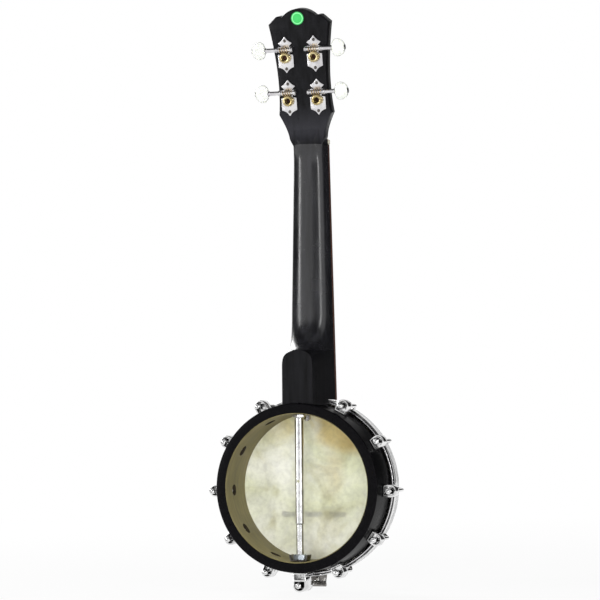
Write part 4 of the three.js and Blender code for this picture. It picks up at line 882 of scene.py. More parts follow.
# %% Tail bracket
tail_place = pot_place @ Matrix.Rotation(math.pi, 4, "Y")
tail_mouth, tail_depth, tail_half = 7.4, 22, 6.2
tail_centre, cross_wall = rim_outside + 11.9, rim_outside + 6.9
tail = plate("tail_bracket_cast", bracket_loop(0, foot, tail_centre, tail_half), tail_depth, 0.45, 1)
cup = bracket_loop(shoe_wall, cross_wall + shoe_wall, tail_centre, tail_half)
carve(tail, moved(plate("cup", cup, tail_depth, 0.0, 1), at(0, 0, shoe_wall)))
inner = tail_half - shoe_wall
carve(tail, block((-inner, foot + shoe_wall, shoe_wall), (inner, cross_wall, tail_depth + 2)))
drill(tail, rod_radius + gap, -3, 5, at(0, tail_centre, 0))
moved(tail, at(0, tail_mouth + tail_depth, 0) @ facing_back)
drill(tail, tail_hole, foot - 2, foot + shoe_wall + 1, at(0, rod_height, 0))
soften(tail, 0.2, 50)
tail = joined("tail_bracket_cast", tail, bolt)
cast(tail, tail_place, "tail_bracket")

# %% Tail hook
sheet = 1.5
plate_back = hoop_front + gap
plate_front = plate_back + sheet
top = plate_front + gap + rod_radius
bent = wire("tail_hook_bent", [
    (0, 8, tail_centre),
    *arc(top - hook_bend, tail_centre - hook_bend, hook_bend, 0, math.pi / 2),
    (0, top, tail_centre - 11),
], rod_radius, 5)
soften(bent, 0.35, 60)
tail_nut_end = tail_mouth + tail_depth - shoe_wall - gap
tail_nut = moved(long_nut("tail_nut", 3, tail_nut_end), at(0, 0, tail_centre) @ along_y)
settle(joined("tail_hook_bent", bent, tail_nut), tail_place, chrome, ["tail_hook"])

# %% Tailpiece
bend_start = rim_outside + 6.4
lip_start = bend_start - 26
bar_middle = bend_start + 4 + 3.5
plate_drop = 2.2
lip_front, low_front = plate_front + 4, plate_front - plate_drop
route = [
    (lip_front, lip_start), (lip_front, lip_start + 1.6), (plate_front + 0.5, lip_start + 4.1),
    (plate_front, lip_start + 4.9), (plate_front, bend_start - 0.8), (plate_front - 0.5, bend_start + 0.6),
    (low_front + 0.4, bend_start + 3.4), (low_front, bend_start + 4.4), (low_front, bar_middle),
]
back_route = [(y - sheet, z) for y, z in reversed(route)]
stamped = moved(plate("tailpiece_stamped", polygon(*route, *back_route), 22, 0.25, 1), across @ at(0, 0, -11))
hole_middle = bend_start + 4 * 0.625
# Each string has its thickness, its side, its tuner's row, and how many spreads it lies from the middle.
string_kinds = {
    "a": (0.62, -1, "lower", 3), "e": (0.72, -1, "upper", 1),
    "c": (0.9, 1, "upper", 1), "g": (0.66, 1, "lower", 3),
}
tail_spread, bridge_spread, nut_spread = 3.1, 6.8, 4.6
for thick, side, row, spread in string_kinds.values():
    x = -side * spread * tail_spread
    half = thick / 2 + 0.45
    carve(stamped, block((x - half, 50, hole_middle - 1.3), (x + half, 60, hole_middle + 1.3)))
    carve(stamped, block((x - half, plate_front + 2.5, lip_start - 2), (x + half, 65, lip_start + 2.6)))
drill(stamped, rod_radius + gap, 50, 60, at(0, 0, tail_centre) @ along_y)
roll = lathe("roll", [(0, -11), (1.4, -11), (1.75, -10.65), (1.75, 10.65), (1.4, 11), (0, 11)], 24)
moved(roll, at(0, low_front - 0.75, bar_middle) @ along_x)
settle(joined("tailpiece_stamped", stamped, roll), tail_place, smoked_nickel, ["tailpiece"])
print("tail made")

# %% [markdown]
# ## The coordinator rod
# A bright tube runs through the pot from the heel to the tail and keeps the neck's angle. Its lower part slides
# over a thinner threaded rod, and nuts lock both ends. Everything round is lathed, with a chamfer on each edge,
# because bright metal shows its shape by the light on its edges.

# %% Sleeve
sleeve_top, sleeve_bottom = rim_inside_radius - 3.5, -rim_inside_radius * 0.4875
sleeve = lathe("rod_sleeve_turned", [
    (2.7, sleeve_bottom), (3.6, sleeve_bottom), (4.05, sleeve_bottom + 0.45), (4.05, sleeve_top - 0.45),
    (3.6, sleeve_top), (2.7, sleeve_top), (2.7, sleeve_top - 8.3), (0, sleeve_top - 8.3),
], 48)
lower_bore = lathe("bore", [
    (0, sleeve_bottom + 8.3), (2.7, sleeve_bottom + 8.3), (2.7, sleeve_bottom),
], 48)
sleeve = cleaned(joined("rod_sleeve_turned", sleeve, lower_bore), 0.01)
drill(sleeve, 1.5, -8, 8, at(0, 0, 6) @ along_y, 24)
rod_place = pot_place @ at(0, rod_height, 0)
settle(sleeve, rod_place, chrome, ["rod_sleeve"])

# %% Thread
def threaded(start, end, radius):
    """Profile points of a threaded length: rings are enough, because no eye follows the climb at this size."""
    pitch, depth, points, height = 0.8, 0.28, [], start
    while height < end - pitch:
        points += [(radius - depth, height), (radius, height + pitch / 2)]
        height += pitch
    return [*points, (radius - depth, height), (radius - depth, end)]


# %% Adjuster
shoulder, adjuster_bottom = sleeve_bottom - gap, -(rim_inside_radius - 5.9)
saddle_foot = -(rim_inside_radius - 0.7)
saddle_plate = saddle_foot + 1
tip_start, tip_end = saddle_plate + gap, -(foot + shoe_wall)
adjuster = lathe("rod_adjuster_turned", [
    (0, tip_end), (1.6, tip_end), (1.9, tip_end + 0.3), (1.9, tip_start), *threaded(tip_start, adjuster_bottom, 2.4),
    (3.1, adjuster_bottom), (3.45, adjuster_bottom + 0.35), (3.45, shoulder - 0.35), (3.1, shoulder),
    *threaded(shoulder, shoulder + 7.6, 2.4), (2, shoulder + 8), (0, shoulder + 8),
], 40)
settle(adjuster, rod_place, chrome, ["rod_adjuster"])

# %% Nuts and studs
def hex_nut(name, across_flats, start, end, bore=None):
    """Six sides with both faces turned to a chamfer, which is what gives a nut its curved corners."""
    corner = across_flats / math.sqrt(3)
    body = cylinder(corner, start, end, sides=6)
    half, rise = across_flats / 2, 0.14 * across_flats
    turned = lathe("chamfer", [
        (0, start), (half * 0.95, start), (corner + 0.01, start + rise * 0.5), (corner + 0.01, end - rise * 0.5),
        (half * 0.95, end), (0, end),
    ], 48)
    carve(body, turned, "INTERSECT")
    if bore:
        drill(body, bore, start - 1, end + 1)
    body.name = name
    return body


stud_end, lock_top = foot + 12, rim_inside_radius - 0.5
stud = lathe("stud", [
    (0, sleeve_top - 8), (1.9, sleeve_top - 8), *threaded(sleeve_top - 7.6, stud_end - 0.5, 2.4),
    (0, stud_end),
], 32)
lock = joined("rod_neck_nut_cut", hex_nut("lock", 10.8, lock_top - 2.7, lock_top), stud)
settle(lock, rod_place, nickel, ["rod_neck_nut"])
tail_lock = hex_nut("rod_tail_nut_cut", 11, saddle_plate + 0.1, saddle_plate + 5.2, rod_hole)
settle(tail_lock, rod_place, zinc, ["rod_tail_nut"])

# %% Saddle
saddle_loop = outline(
    (0, saddle_foot - 0.15), ((3.5, saddle_foot - 0.15), (7.0, saddle_foot)),
    ((7.6, saddle_foot), (7.75, saddle_foot + 0.6)), (None, (9, saddle_foot + 5.6)),
    ((9.05, saddle_foot + 6), (8.5, saddle_foot + 6)), ((8.1, saddle_foot + 6), (8, saddle_foot + 5.6)),
    (None, (6.85, saddle_foot + 1.3)), ((6.8, saddle_plate), (6.4, saddle_plate)), (None, (0, saddle_plate)))
saddle = moved(plate("rod_saddle_bent", saddle_loop, 12, 0.2, 4), at(0, rod_height + 6, 0) @ facing_back)
drill(saddle, rod_hole, saddle_foot - 2, saddle_foot + 3, at(0, rod_height, 0))
settle(saddle, pot_place, screw_steel, ["rod_saddle"])

# %% Heel stud
nut_top = lock_top - 1
washer = lathe("washer", [
    (0, nut_top), (4.2, nut_top), (4.5, nut_top + 0.3), (4.5, lock_top - 0.2), (4.3, lock_top), (0, lock_top),
], 40)
small_nut = hex_nut("small_nut", 6, nut_top - 4.2, nut_top)
pin = lathe("pin", [
    (0, nut_top - 5.2), (1.6, nut_top - 5.2), *threaded(nut_top - 4.9, stud_end - 0.5, 2),
    (0, stud_end),
], 32)
heel_stud = joined("heel_stud_cut", washer, small_nut, pin)
settle(heel_stud, pot_place @ at(0, stud_height, 0), nickel, ["heel_stud"])
print("rod made")

# %% [markdown]
# ## The neck
# The neck is one piece of wood: a shaft of D section, a heel that swells down to the pot, a raised volute behind
# the nut, and the headstock. Extruding and resizing alone can't change how full a section is, so the sections are
# worked out by a formula and skinned. The heel's sections grow deeper than the heel, and one flat cut through them
# leaves the arch of its back, as a plane does on the real one.

# %% Sections
neck_facets = 44


def neck_section(z, half_width, depth, fullness=2.5, taper=0.0):
    """A flat top and a full curve below, narrowed towards the heel's back by its taper."""
    points = []
    for i in range(neck_facets + 1):
        angle = math.pi * i / neck_facets
        y = -depth * full(abs(math.sin(angle)), fullness)
        narrowing = 1 - taper * min(-y, heel_back) / heel_back
        points.append((half_width * narrowing * full(math.cos(angle), fullness), y, z))
    return points


def skinned(name, sections):
    """A closed solid through sections that all have the same number of points."""
    mesh = bmesh.new()
    rings = [[mesh.verts.new(point) for point in section] for section in sections]
    for low, high in zip(rings, rings[1:]):
        for i in range(len(low)):
            j = (i + 1) % len(low)
            mesh.faces.new((low[i], low[j], high[j], high[i]))
    mesh.faces.new(reversed(rings[0]))
    mesh.faces.new(rings[-1])
    bmesh.ops.recalc_face_normals(mesh, faces=mesh.faces)
    if mesh.calc_volume(signed=True) < 0:
        bmesh.ops.reverse_faces(mesh, faces=mesh.faces)
    data = bpy.data.meshes.new(name)
    mesh.to_mesh(data)
    mesh.free()
    piece = bpy.data.objects.new(name, data)
    bpy.context.collection.objects.link(piece)
    return piece


# %% Shaft, heel and volute
neck_length, heel_back, heel_half, heel_length, throat, arch = 242.4, 49.6, 14.6, 49.1, 35, 12
nut_half, wide_half, shallow, deep = 16, 21.2, 15.1, 17.8
volute_rise, volute_length = 5, 30
heel_top, foot_z = neck_length - heel_length, pot_z + rim_inside_radius


def half_width_at(z):
    """From the nut to the heel the neck grows wider."""
    return nut_half + (wide_half - nut_half) * max(0, -z) / neck_length


def depth_at(z):
    """From the nut to the heel the shaft grows deeper."""
    return shallow + (deep - shallow) * max(0, -z) / heel_top


def heel_taper(z):
    """How much narrower the heel's back is than its front."""
    return 1 - heel_half / half_width_at(z)


sections = []
for z in (foot_z, -heel_top - arch * 1.4):
    sections.append(neck_section(z, half_width_at(z), 1.7 * heel_back, 6.5, heel_taper(z)))
for i in range(12, -1, -1):
    drop = (i / 12) ** 1.6 * 1.2
    z, depth = -heel_top - drop * arch, heel_back * (1 + 0.56 * drop ** 1.2)
    sections.append(neck_section(z, half_width_at(z), depth, 2.5 + 3.3 * drop ** 0.95, heel_taper(z)))
for i in range(1, 19):
    share = math.cos(math.pi / 2 * i / 18)
    z = -heel_top + throat * (1 - share)
    depth = heel_back - (heel_back - deep) * math.sqrt(1 - share ** 2)
    sections.append(neck_section(z, half_width_at(z), depth, taper=heel_taper(z) * share))
# Each section of the volute: how far along it is, and its share of the full rise.
volute = (
    (0, 0), (0.2, 0.015), (0.4, 0.08), (0.53, 0.16), (0.65, 0.28), (0.75, 0.45), (0.85, 0.66), (1, 1), (1.5, 1.35),
)
for along, rise in volute:
    z = -1 - volute_length * (1 - along)
    sections.append(neck_section(z, half_width_at(z), depth_at(z) + volute_rise * rise))
neck = skinned("neck_shaped", sections)
carve(neck, block((-30, -110, -330), (30, -heel_back, -150)))
print("shaft and heel:", len(neck.data.polygons), "faces")

# %% [markdown]
# The heel's flat back meets its sides in a fine sanded edge. The bevel operator takes just those edges, found by
# their place: they lie in the plane of the back.

# %% Sanded edge
alone(neck)
bpy.ops.object.mode_set(mode="EDIT")
bpy.ops.mesh.select_all(action="DESELECT")
shape = bmesh.from_edit_mesh(neck.data)
shape.normal_update()
for edge in shape.edges:
    on_back = all(abs(corner.co.y + heel_back) < 0.01 for corner in edge.verts)
    if on_back and len(edge.link_faces) == 2 and edge.calc_face_angle(0) > math.radians(15):
        edge.select = True
bmesh.update_edit_mesh(neck.data)
bpy.ops.mesh.bevel(offset=0.8, segments=3, clamp_overlap=True)
bpy.ops.object.mode_set(mode="OBJECT")

# %% Volute's facet
lip, crease = (-20.1, -1), 13.6


def back_at(z):
    """Where the leaning back of the headstock is at a height."""
    return head_back - z * math.tan(head_lean)


facet = polygon(lip, (back_at(crease), crease), (back_at(30), 30), (-heel_back, 30), (-heel_back, -1))
carve(neck, moved(plate("facet", facet, 80), across @ at(0, 0, -40)))

# %% Headstock
head_half, head_length, head_wood, head_face, ledge_z = 29.2, 125.8, 11.4, 1.6, 4.6


def on_head(x_share, z_share):
    """A corner by its share of the headstock's half width and length."""
    return (x_share * head_half, z_share * head_length)


head_loop = outline(
    on_head(0.428, -0.032), (on_head(0.52, 0), on_head(0.575, 0.037)),
    (on_head(0.603, 0.107), on_head(0.866, 0.219)), (on_head(0.695, 0.493), on_head(1, 0.893)),
    (None, on_head(0.74, 0.947)), (on_head(0.64, 0.954), on_head(0.555, 0.942)), (on_head(0.3, 1), on_head(0, 1)))
head = moved(plate("headstock", head_loop, head_wood, 0.45, 16), head_place @ at(0, head_wood, 0) @ facing_back)
carve(neck, head, "UNION")
face_low, face_high = (back_at(z) + head_wood / math.cos(head_lean) for z in (ledge_z, 130))
ledge = polygon((face_low, ledge_z), (0, ledge_z), (0, -30), (8, -30), (8, 130), (face_high, 130))
carve(neck, moved(plate("ledge", ledge, 80), across @ at(0, 0, -40)))

# %% Seat on the pot and the holes
pot_space = lathe("pot_space", [
    (0, -10), (77.9, -10), (77.9, 40.2), (83.2, 40.2), (83.2, 70), (0, 70),
], 192)
carve(neck, copied(moved(pot_space, pot_place @ along_y), "pot_cut"))
tuner_rows, tuner_half_spacing, post_hole = {"lower": 41, "upper": 81.2}, 14.1, 3.3
post_places = [at(side * tuner_half_spacing, 0, z) for z in tuner_rows.values() for side in (-1, 1)]
for place in post_places:
    drill(neck, post_hole, -2, 15, head_place @ place @ along_y)
drill(neck, rod_hole, 60, 90.5, rod_place)
drill(neck, stud_hole, 60, 90.5, pot_place @ at(0, stud_height, 0))
settle(neck, still, black_wood, ["neck"], angle=32)
# The back of the shaft takes the glossier black, whose paler base colour paints part of its sheen.
neck.data.materials.append(glossy_black_painted_sheen)
painted_sheen_low, painted_sheen_high = -(heel_top + 0.2) / 1000, lip[1] / 1000
for face in neck.data.polygons:
    face.material_index = int(painted_sheen_low < face.center.z < painted_sheen_high and face.center.y < -0.001)
print("neck:", len(neck.data.polygons), "faces")

# %% [markdown]
# ## Headstock face, fretboard and nut
# The front of the headstock carries a thin black face, cut from the same outline. The fretboard is a tapering board
# with rounded nickel frets, spaced by the rule of the twelfth root of two, and the nut is a bone bar with slots.

# %% Headstock face
face = plate("headstock_face_cut", head_loop, head_face, 0.3, 16)
moved(face, at(0, head_wood + gap + head_face, 0) @ facing_back)
face_start = (ledge_z + gap - (head_wood + gap) * math.sin(head_lean)) / math.cos(head_lean)
carve(face, block((-40, 5, -60), (40, 20, face_start)))
for place in post_places:
    drill(face, post_hole, -2, 15, place @ along_y)
settle(face, head_place, black_wood, ["headstock_face"])

# %% Fretboard
board_thick, scale_length, fret_count = 5, 346, 17
board_loop = polygon(
    (-nut_half, 0), (-wide_half, -neck_length), (-wide_half, foot_z),
    (wide_half, foot_z), (wide_half, -neck_length), (nut_half, 0))
board = moved(plate("fretboard_planed", board_loop, board_thick, 0.35, 1), at(0, board_thick, 0) @ facing_back)
carve(board, pot_space)


def fret_place(n):
    """Each fret leaves the string a twelfth root of two shorter."""
    return -scale_length * (1 - 2 ** (-n / 12))


dots = []
for n in (5, 7, 10, 12, 15):
    middle = (fret_place(n) + fret_place(n - 1)) / 2
    for x in ((-5, 5) if n == 12 else (0,)):
        drill(board, 1.9, 4, 7, at(x, 0, middle) @ along_y)
        dots.append(moved(lathe(f"dot_{n}_{x}", [(0, 4.05), (1.85, 4.05), (1.85, 5), (1.6, 5.05), (0, 5.06)], 24),
                          at(x, 0, middle) @ along_y))
settle(board, still, rosewood, ["fretboard"])
settle(joined("fretboard_dots", *dots), still, pearl)

# %% Frets
fret_angles = [math.pi * i / 10 for i in range(11)]
fret_loop = polygon(*[(board_thick + 0.8 * math.sin(angle), -math.cos(angle)) for angle in fret_angles])
frets = []
for n in range(1, fret_count + 1):
    z = fret_place(n)
    length = 2 * half_width_at(z) - 1.0
    frets.append(moved(plate(f"fret_{n}", fret_loop, length, 0, 1), at(0, 0, z) @ across @ at(0, 0, -length / 2)))
frets = soften(joined("fretboard_frets", *frets), 0.25, 60)
settle(frets, still, nickel)

# %% Nut
nut_height = 6.7
string_nut = block((-nut_half, 0, 0.1), (nut_half, nut_height, 4.5))
string_nut.name = "string_nut_filed"
alone(string_nut)
bpy.ops.object.mode_set(mode="EDIT")
bpy.ops.mesh.select_all(action="DESELECT")
shape = bmesh.from_edit_mesh(string_nut.data)
for edge in shape.edges:
    first, second = (corner.co for corner in edge.verts)
    edge.select = min(first.y, second.y) > nut_height - 0.1 and abs(first.z - second.z) < 0.1
bmesh.update_edit_mesh(string_nut.data)
bpy.ops.mesh.bevel(offset=1.6, segments=5)
bpy.ops.object.mode_set(mode="OBJECT")
for thick, side, row, spread in string_kinds.values():
    x, half = side * spread * nut_spread, thick / 2 + gap
    carve(string_nut, block((x - half, nut_height - thick - gap, -2), (x + half, 9, 7)))
soften(string_nut, 0.2, 50)
settle(string_nut, still, bone, ["string_nut"])

# %% [markdown]
# ## Bridge
# The bridge is a slip of maple on three feet with a dark cap, thinner at the top than at the feet. Its outline is
# cut like the other flat pieces, and a wedge takes off what the top has too much.

# %% Bridge
bridge_half, bridge_height, bridge_thick, bridge_z, skin_front = 31.3, 14.6, 5.5, -26, 52.4
bridge_top, half_thick = skin_front + bridge_height, bridge_thick / 2


def on_bridge(x_share, y_share):
    """A corner by its share of the bridge's half width and height."""
    return (x_share * bridge_half, skin_front + y_share * bridge_height)


bridge_loop = outline(
    on_bridge(0, 0), (None, on_bridge(0.256, 0)), (on_bridge(0.27, 0.4), on_bridge(0.372, 0.42)),
    (on_bridge(0.475, 0.4), on_bridge(0.489, 0)), (None, on_bridge(1, 0)),
    (on_bridge(0.99, 0.32), on_bridge(0.86, 0.62)), (on_bridge(0.78, 0.8), on_bridge(0.75, 1)),
    (None, on_bridge(0, 1)))
maple_part = moved(plate("bridge_cut", bridge_loop, bridge_thick, 0.3, 12), at(0, 0, bridge_z - half_thick))
wedge = polygon(
    (skin_front - 0.1, -half_thick), (skin_front - 0.1, half_thick), (bridge_top + 0.2, 1), (bridge_top + 0.2, -1))
carve(maple_part, moved(plate("wedge", wedge, 80), at(0, 0, bridge_z) @ across @ at(0, 0, -40)), "INTERSECT")
cap_space = (-40, bridge_top - 2, -40), (40, 80, -10)
cap = carve(copied(maple_part, "bridge_cap"), block(*cap_space), "INTERSECT")
carve(maple_part, block(*cap_space))
for thick, side, row, spread in string_kinds.values():
    x, half = side * spread * bridge_spread, thick / 2 + gap
    carve(cap, block((x - half, bridge_top - thick - gap, -40), (x + half, bridge_top + 2, -10)))
settle(maple_part, pot_place, maple, ["bridge"])
settle(cap, pot_place, ebony)
print("neck, fretboard and bridge made")

# %% [markdown]
# ## The tuners
# Four open tuners turn the posts: a button drives a worm, and the worm drives a brass gear on the post. One of each
# piece is made about the middle of its post, on the headstock's back, and copied to the four places. The plate is a
# stamped outline with two ears bent up for the worm's shaft.

# %% Slotted screw head
def screw_head(name, radius, height, turn):
    """A low dome with a slot, standing on Z 0."""
    head = lathe(name, [
        (0, -0.5), (radius, -0.5), (radius, 0.1), (radius * 0.86, height * 0.6), (radius * 0.5, height * 0.95),
        (0, height),
    ], 28)
    long, wide = radius * 1.2, radius * 0.14
    return carve(head, block((-long, -wide, height * 0.35), (long, wide, height + 1), Matrix.Rotation(turn, 4, "Z")))


# %% Plate with ears
plate_top, plate_bottom, plate_half, plate_thick = 19.3, 14.2, 7.4, 1.1


def on_plate(x_share, z_share):
    """A corner by its share of the plate's half width and of its length above or below the post."""
    return (x_share * plate_half, z_share * (plate_top if z_share > 0 else plate_bottom))


plate_loop = outline(
    on_plate(0, -1), (on_plate(0.06, -1), on_plate(0.09, -0.975)), (on_plate(0.3, -0.74), on_plate(0.97, -0.64)),
    (None, on_plate(1, -0.6)), (on_plate(1, -0.1), on_plate(1, 0.12)), (on_plate(0.93, 0.14), on_plate(0.55, 0.16)),
    (on_plate(0.515, 0.3), on_plate(0.515, 0.53)), (on_plate(0.66, 0.6), on_plate(0.9, 0.68)),
    (None, on_plate(0.89, 0.71)), (on_plate(0.38, 0.8), on_plate(0.07, 0.99)), (on_plate(0.03, 1), on_plate(0, 1)))
worm_offset, worm_height, ear_inset, ear_half, ear_thick = 7.5, 4.9, 6.4, 2.6, 1
tuner_plate = moved(plate("tuner_plate", plate_loop, plate_thick, 0.18, 8), at(0, -0.3, 0) @ facing_back)
crown_angles = [math.pi * i / 12 for i in range(13)]
crown = [(-worm_height - 2.4 * math.sin(a), worm_offset - ear_half * math.cos(a)) for a in crown_angles]
ear_loop = polygon((-0.35, worm_offset - ear_half), *crown, (-0.35, worm_offset + ear_half))
ears = []
for start in (-ear_inset - ear_thick, ear_inset):
    ear = moved(plate("ear", ear_loop, ear_thick, 0.15, 1), across @ at(0, 0, start))
    ears.append(drill(ear, 2.1, start - 1, start + 2, at(0, -worm_height, worm_offset) @ along_x))
web_half, web_low, web_high = ear_inset + 0.9, worm_offset - ear_half + 0.1, worm_offset + ear_half - 0.1
web = block((-web_half, -1.35, web_low), (web_half, -0.35, web_high))
for sheet_part in (tuner_plate, web):
    drill(sheet_part, post_hole, -5, 2, along_y)
tuner_plate = joined("tuner_plate", tuner_plate, soften(web, 0.2), *ears)
print("tuner plate:", len(tuner_plate.data.polygons), "faces")

# %% Gear and post
teeth, pitch_radius, gear_thick, head_front = 14, 4.9, 3, 13.3
worm_pitch = math.tau * pitch_radius / teeth
twist = worm_pitch / (math.tau * (worm_offset - pitch_radius)) * gear_thick / 2 / pitch_radius


def gear_section(y, lean, shrink):
    """Teeth with flat tips, slanted a little like the thread that drives them."""
    points = []
    for i in range(teeth):
        middle = math.pi / 2 + lean + i * math.tau / teeth
        for radius, half in ((4.2, -0.62), (4.9, -0.45), (5.4, -0.26), (5.4, 0.26), (4.9, 0.45), (4.2, 0.62)):
            angle = middle + half / radius
            points.append((radius * shrink * math.cos(angle), y, radius * shrink * math.sin(angle)))
    return points


gear_back = -worm_height - gear_thick / 2
wheel = skinned("gear_wheel", [
    gear_section(gear_back + depth, twist * (1 - depth / (gear_thick / 2)), shrink)
    for depth, shrink in ((0, 0.9), (0.4, 1), (1.5, 1), (2.7, 1), (3, 0.93))])
drill(wheel, 3.5, -8, 0, along_y)
crest = moved(lathe("gear_crest", [
    (0, -3.2), (2.5, -3.2), (2.55, -5.9), (2.75, -6.4), (3.2, -6.75), (3.75, -6.85), (4.3, -6.65), (4.62, -6.25),
    (4.7, -5.95), (4.5, -5.6), (4.2, -3.4), (4, -3.3), (4, -1.9), (3.8, -1.7), (3, -1.7),
    *raised(head_front, (3, 2.6), (2.85, 3.1), (2.7, 3.6), (2.7, 7.8), (2.85, 8.3), (3, 8.7), (3, 10.7)),
    *raised(head_front, (2.75, 11.2), (2.2, 11.5), (0, 11.5)),
], 40), along_y)
drill(crest, 0.9, -5, 5, at(0, head_front + 6.5, 0) @ along_x, 16)
gear = joined("gear", crest, wheel)
post_screw = moved(screw_head("post_screw", 2.3, 0.7, 0.6), at(0, -3.3, 0) @ facing_back)
print("gear and post:", len(gear.data.polygons), "faces")

# %% Worm and shaft
button_start, button_length = 18.6, 12
shaft_end = button_start + button_length + 0.3
ears_out = ear_inset + ear_thick
shaft = lathe("shaft", [
    *raised(-ears_out, (0, -1.1), (2.1, -1.1), (2.5, -0.8), (2.5, -0.3), (1.8, -0.3)),
    (1.8, -6.1), (1.6, -6.1), (1.6, 6.1), (1.8, 6.1),
    *raised(ears_out, (1.8, 0.3), (2.4, 0.3), (2.5, 0.45), (2.5, 0.95), (2.3, 1.1), (1.9, 1.1), (2, 1.5)),
    *raised(button_start, (2, -1.5), (1.9, -1.1), (2.3, -1.1), (2.5, -0.9), (2.5, -0.45), (2.3, -0.3), (1.8, -0.3)),
    *raised(shaft_end, (1.8, 0), (2.3, 0), (2.5, 0.15), (2.45, 0.35), (2, 0.5), (0, 0.5)),
], 32)
moved(shaft, along_x)
turns, steps_in_turn = 4.5, 28
thread_sections = []
for i in range(int(turns * steps_in_turn) + 1):
    turn = i / steps_in_turn - turns / 2
    angle, x = math.tau * turn + math.pi / 2, worm_pitch * turn
    fade = min(1, i / 14, (turns * steps_in_turn - i) / 14)
    tip = 1.6 + 1.4 * max(0.1, fade)
    ridge = (
        (1.5, -0.6), (tip - 0.35, -0.36), (tip - 0.05, -0.24), (tip, -0.12),
        (tip, 0.12), (tip - 0.05, 0.24), (tip - 0.35, 0.36), (1.5, 0.6))
    thread_sections.append([
        (x + shift, radius * math.cos(angle), radius * math.sin(angle)) for radius, shift in ridge])
thread = skinned("thread", thread_sections)
print("worm:", len(thread.data.polygons), "faces")

# %% Button
button_half_height, button_half_thick, button_fullness = 8.35, 3.5, 2.4


def button_section(x, tall, thick):
    """A full oval, by its share of the button's height and thickness."""
    high, wide = button_half_height * tall, button_half_thick * thick
    angles = [math.tau * i / 40 for i in range(40)]
    return [(x, wide * full(math.cos(a), button_fullness), high * full(math.sin(a), button_fullness)) for a in angles]


# Each section of the button: how far along it is, and its shares of the full height and thickness.
button_shape = (
    (0, 0.44, 0.5), (0.015, 0.52, 0.56), (0.05, 0.66, 0.68), (0.1, 0.79, 0.79), (0.2, 0.92, 0.91),
    (0.32, 0.985, 0.975), (0.45, 1, 1), (0.6, 0.97, 0.96), (0.72, 0.9, 0.89), (0.84, 0.79, 0.79),
    (0.93, 0.66, 0.68), (0.98, 0.55, 0.6), (1, 0.46, 0.52),
)
button = skinned("button", [
    button_section(button_start + along * button_length, tall, thick) for along, tall, thick in button_shape])
drill(button, 2.1, 10, 40, along_x)
print("button:", len(button.data.polygons), "faces")

# %% Four tuners
other_side = Matrix.Rotation(math.pi, 4, "Y")
for side, side_name in ((-1, "left"), (1, "right")):
    for row, z in tuner_rows.items():
        name = f"{side_name}_{row}"
        place = head_place @ at(side * tuner_half_spacing, 0, z)
        turn = other_side if side < 0 else still
        worm_place = place @ at(0, -worm_height, worm_offset)
        driven, drives = f"tuner_post_{name}", f"tuner_button_{name}"
        settle(copied(tuner_plate, f"tuner_plate_cut_{name}"), place, nickel, [f"tuner_plate_{name}"])
        for height, lean in ((plate_top - 3.7, 0.5), (-plate_bottom + 3.7, 1.1)):
            screw = screw_head(f"tuner_screw_{name}_{round(height)}", 1.5, 0.8, lean + side + z / 30)
            settle(screw, place @ at(0, -1.4, height) @ facing_back, screw_steel)
        settle(copied(gear, f"gear_post_cut_{name}"), place, brass, [f"gear_post_{name}"], driven, angle=30)
        # The post screw sits deep in the gear's recess, in steel darkened by painted shade.
        settle(copied(post_screw, f"post_screw_{name}"), place, steel_painted_shade, (), driven)
        settle(copied(shaft, f"worm_shaft_turned_{name}"), worm_place @ turn, nickel, [f"worm_shaft_{name}"], drives)
        settle(copied(thread, f"worm_thread_{name}"), worm_place, worm_brass, (), drives, 50)
        settle(copied(button, f"button_moulded_{name}"), worm_place @ turn, pearl, [f"button_{name}"], drives)
for piece in (tuner_plate, gear, post_screw, shaft, thread, button):
    bpy.data.objects.remove(piece)

# %% [markdown]
# ## A round label
# A small green paper disc with a paler ring sticks to the top of the headstock's back. It is left blank.

# %% Label
label = moved(lathe("round_label", [(0, 0), (6.1, 0), (6.1, 0.12), (6.0, 0.16), (0, 0.16)], 64),
              at(-0.4, 0, 117) @ facing_back)
settle(label, head_place, label_green)

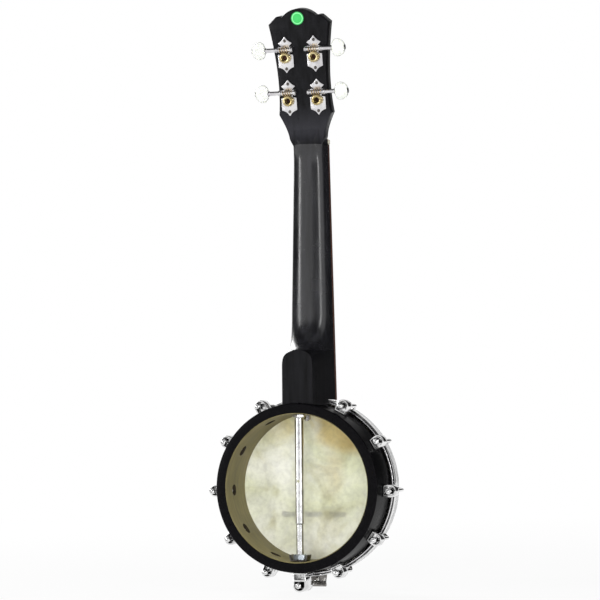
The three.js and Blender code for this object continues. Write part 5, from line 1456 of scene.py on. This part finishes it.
# %% [markdown]
# ## The strings
# Four nylon strings run from knots under the tailpiece, over its lip, the bridge and the nut, and wind round the
# posts. They are taut, so straight lines between the points that carry them are right, and only the turns round the
# posts need a formula.

# %% Strings
turns_on_post, steps_on_post, post_radius = 2.25, 32, 3


def knot_points(middle, size):
    """A small overhand knot: the middle line of a trefoil."""
    points = []
    for i in range(40):
        t = math.tau * i / 39
        knot = (math.sin(t) + 2 * math.sin(2 * t), -math.sin(3 * t), math.cos(t) - 2 * math.cos(2 * t))
        points.append(tuple(m + size * value for m, value in zip(middle, knot)))
    return points


def string_points(thick, side, row, spread):
    """The middle line of a string, from its knot to the end of its turns round the post."""
    radius = thick / 2
    tail_x, bridge_x, nut_x = (side * spread * apart for apart in (tail_spread, bridge_spread, nut_spread))
    over, lip_top = plate_front + gap + radius, lip_front - sheet + gap + radius
    knot_y, bridge_y, nut_y = plate_back - plate_drop - gap - 1, bridge_top - radius, nut_height - radius
    in_pot = [
        (tail_x, knot_y, -hole_middle), (tail_x, over - radius, -hole_middle), (tail_x, over, -hole_middle + radius),
        (tail_x, lip_top, -lip_start - 1.6), (tail_x, lip_top, -lip_start), (bridge_x, bridge_y, bridge_z - 1),
        (bridge_x, bridge_y, bridge_z + 1)]
    points = [tuple(pot_place @ Vector(point)) for point in in_pot]
    points += [(nut_x, nut_y, 0), (nut_x, nut_y, ledge_z)]
    around, climb = post_radius + gap + radius, thick + 0.5
    for i in range(int(turns_on_post * steps_on_post) + 1):
        turn = i / steps_on_post
        x = side * (tuner_half_spacing - around * math.cos(math.tau * turn))
        y, z = head_front + 3.4 + climb * turn, tuner_rows[row] + around * math.sin(math.tau * turn)
        points.append(tuple(head_place @ Vector((x, y, z))))
    return points


for letter, (thick, side, row, spread) in string_kinds.items():
    points = string_points(thick, side, row, spread)
    line = wire(f"string_{letter}_wound", points, thick / 2, 3)
    knot = wire("knot", knot_points(points[0], 0.3), min(0.42, thick / 2), 2)
    settle(joined(f"string_{letter}_wound", line, knot), still, nylon, [f"string_{letter}"], angle=60)
print("strings made")
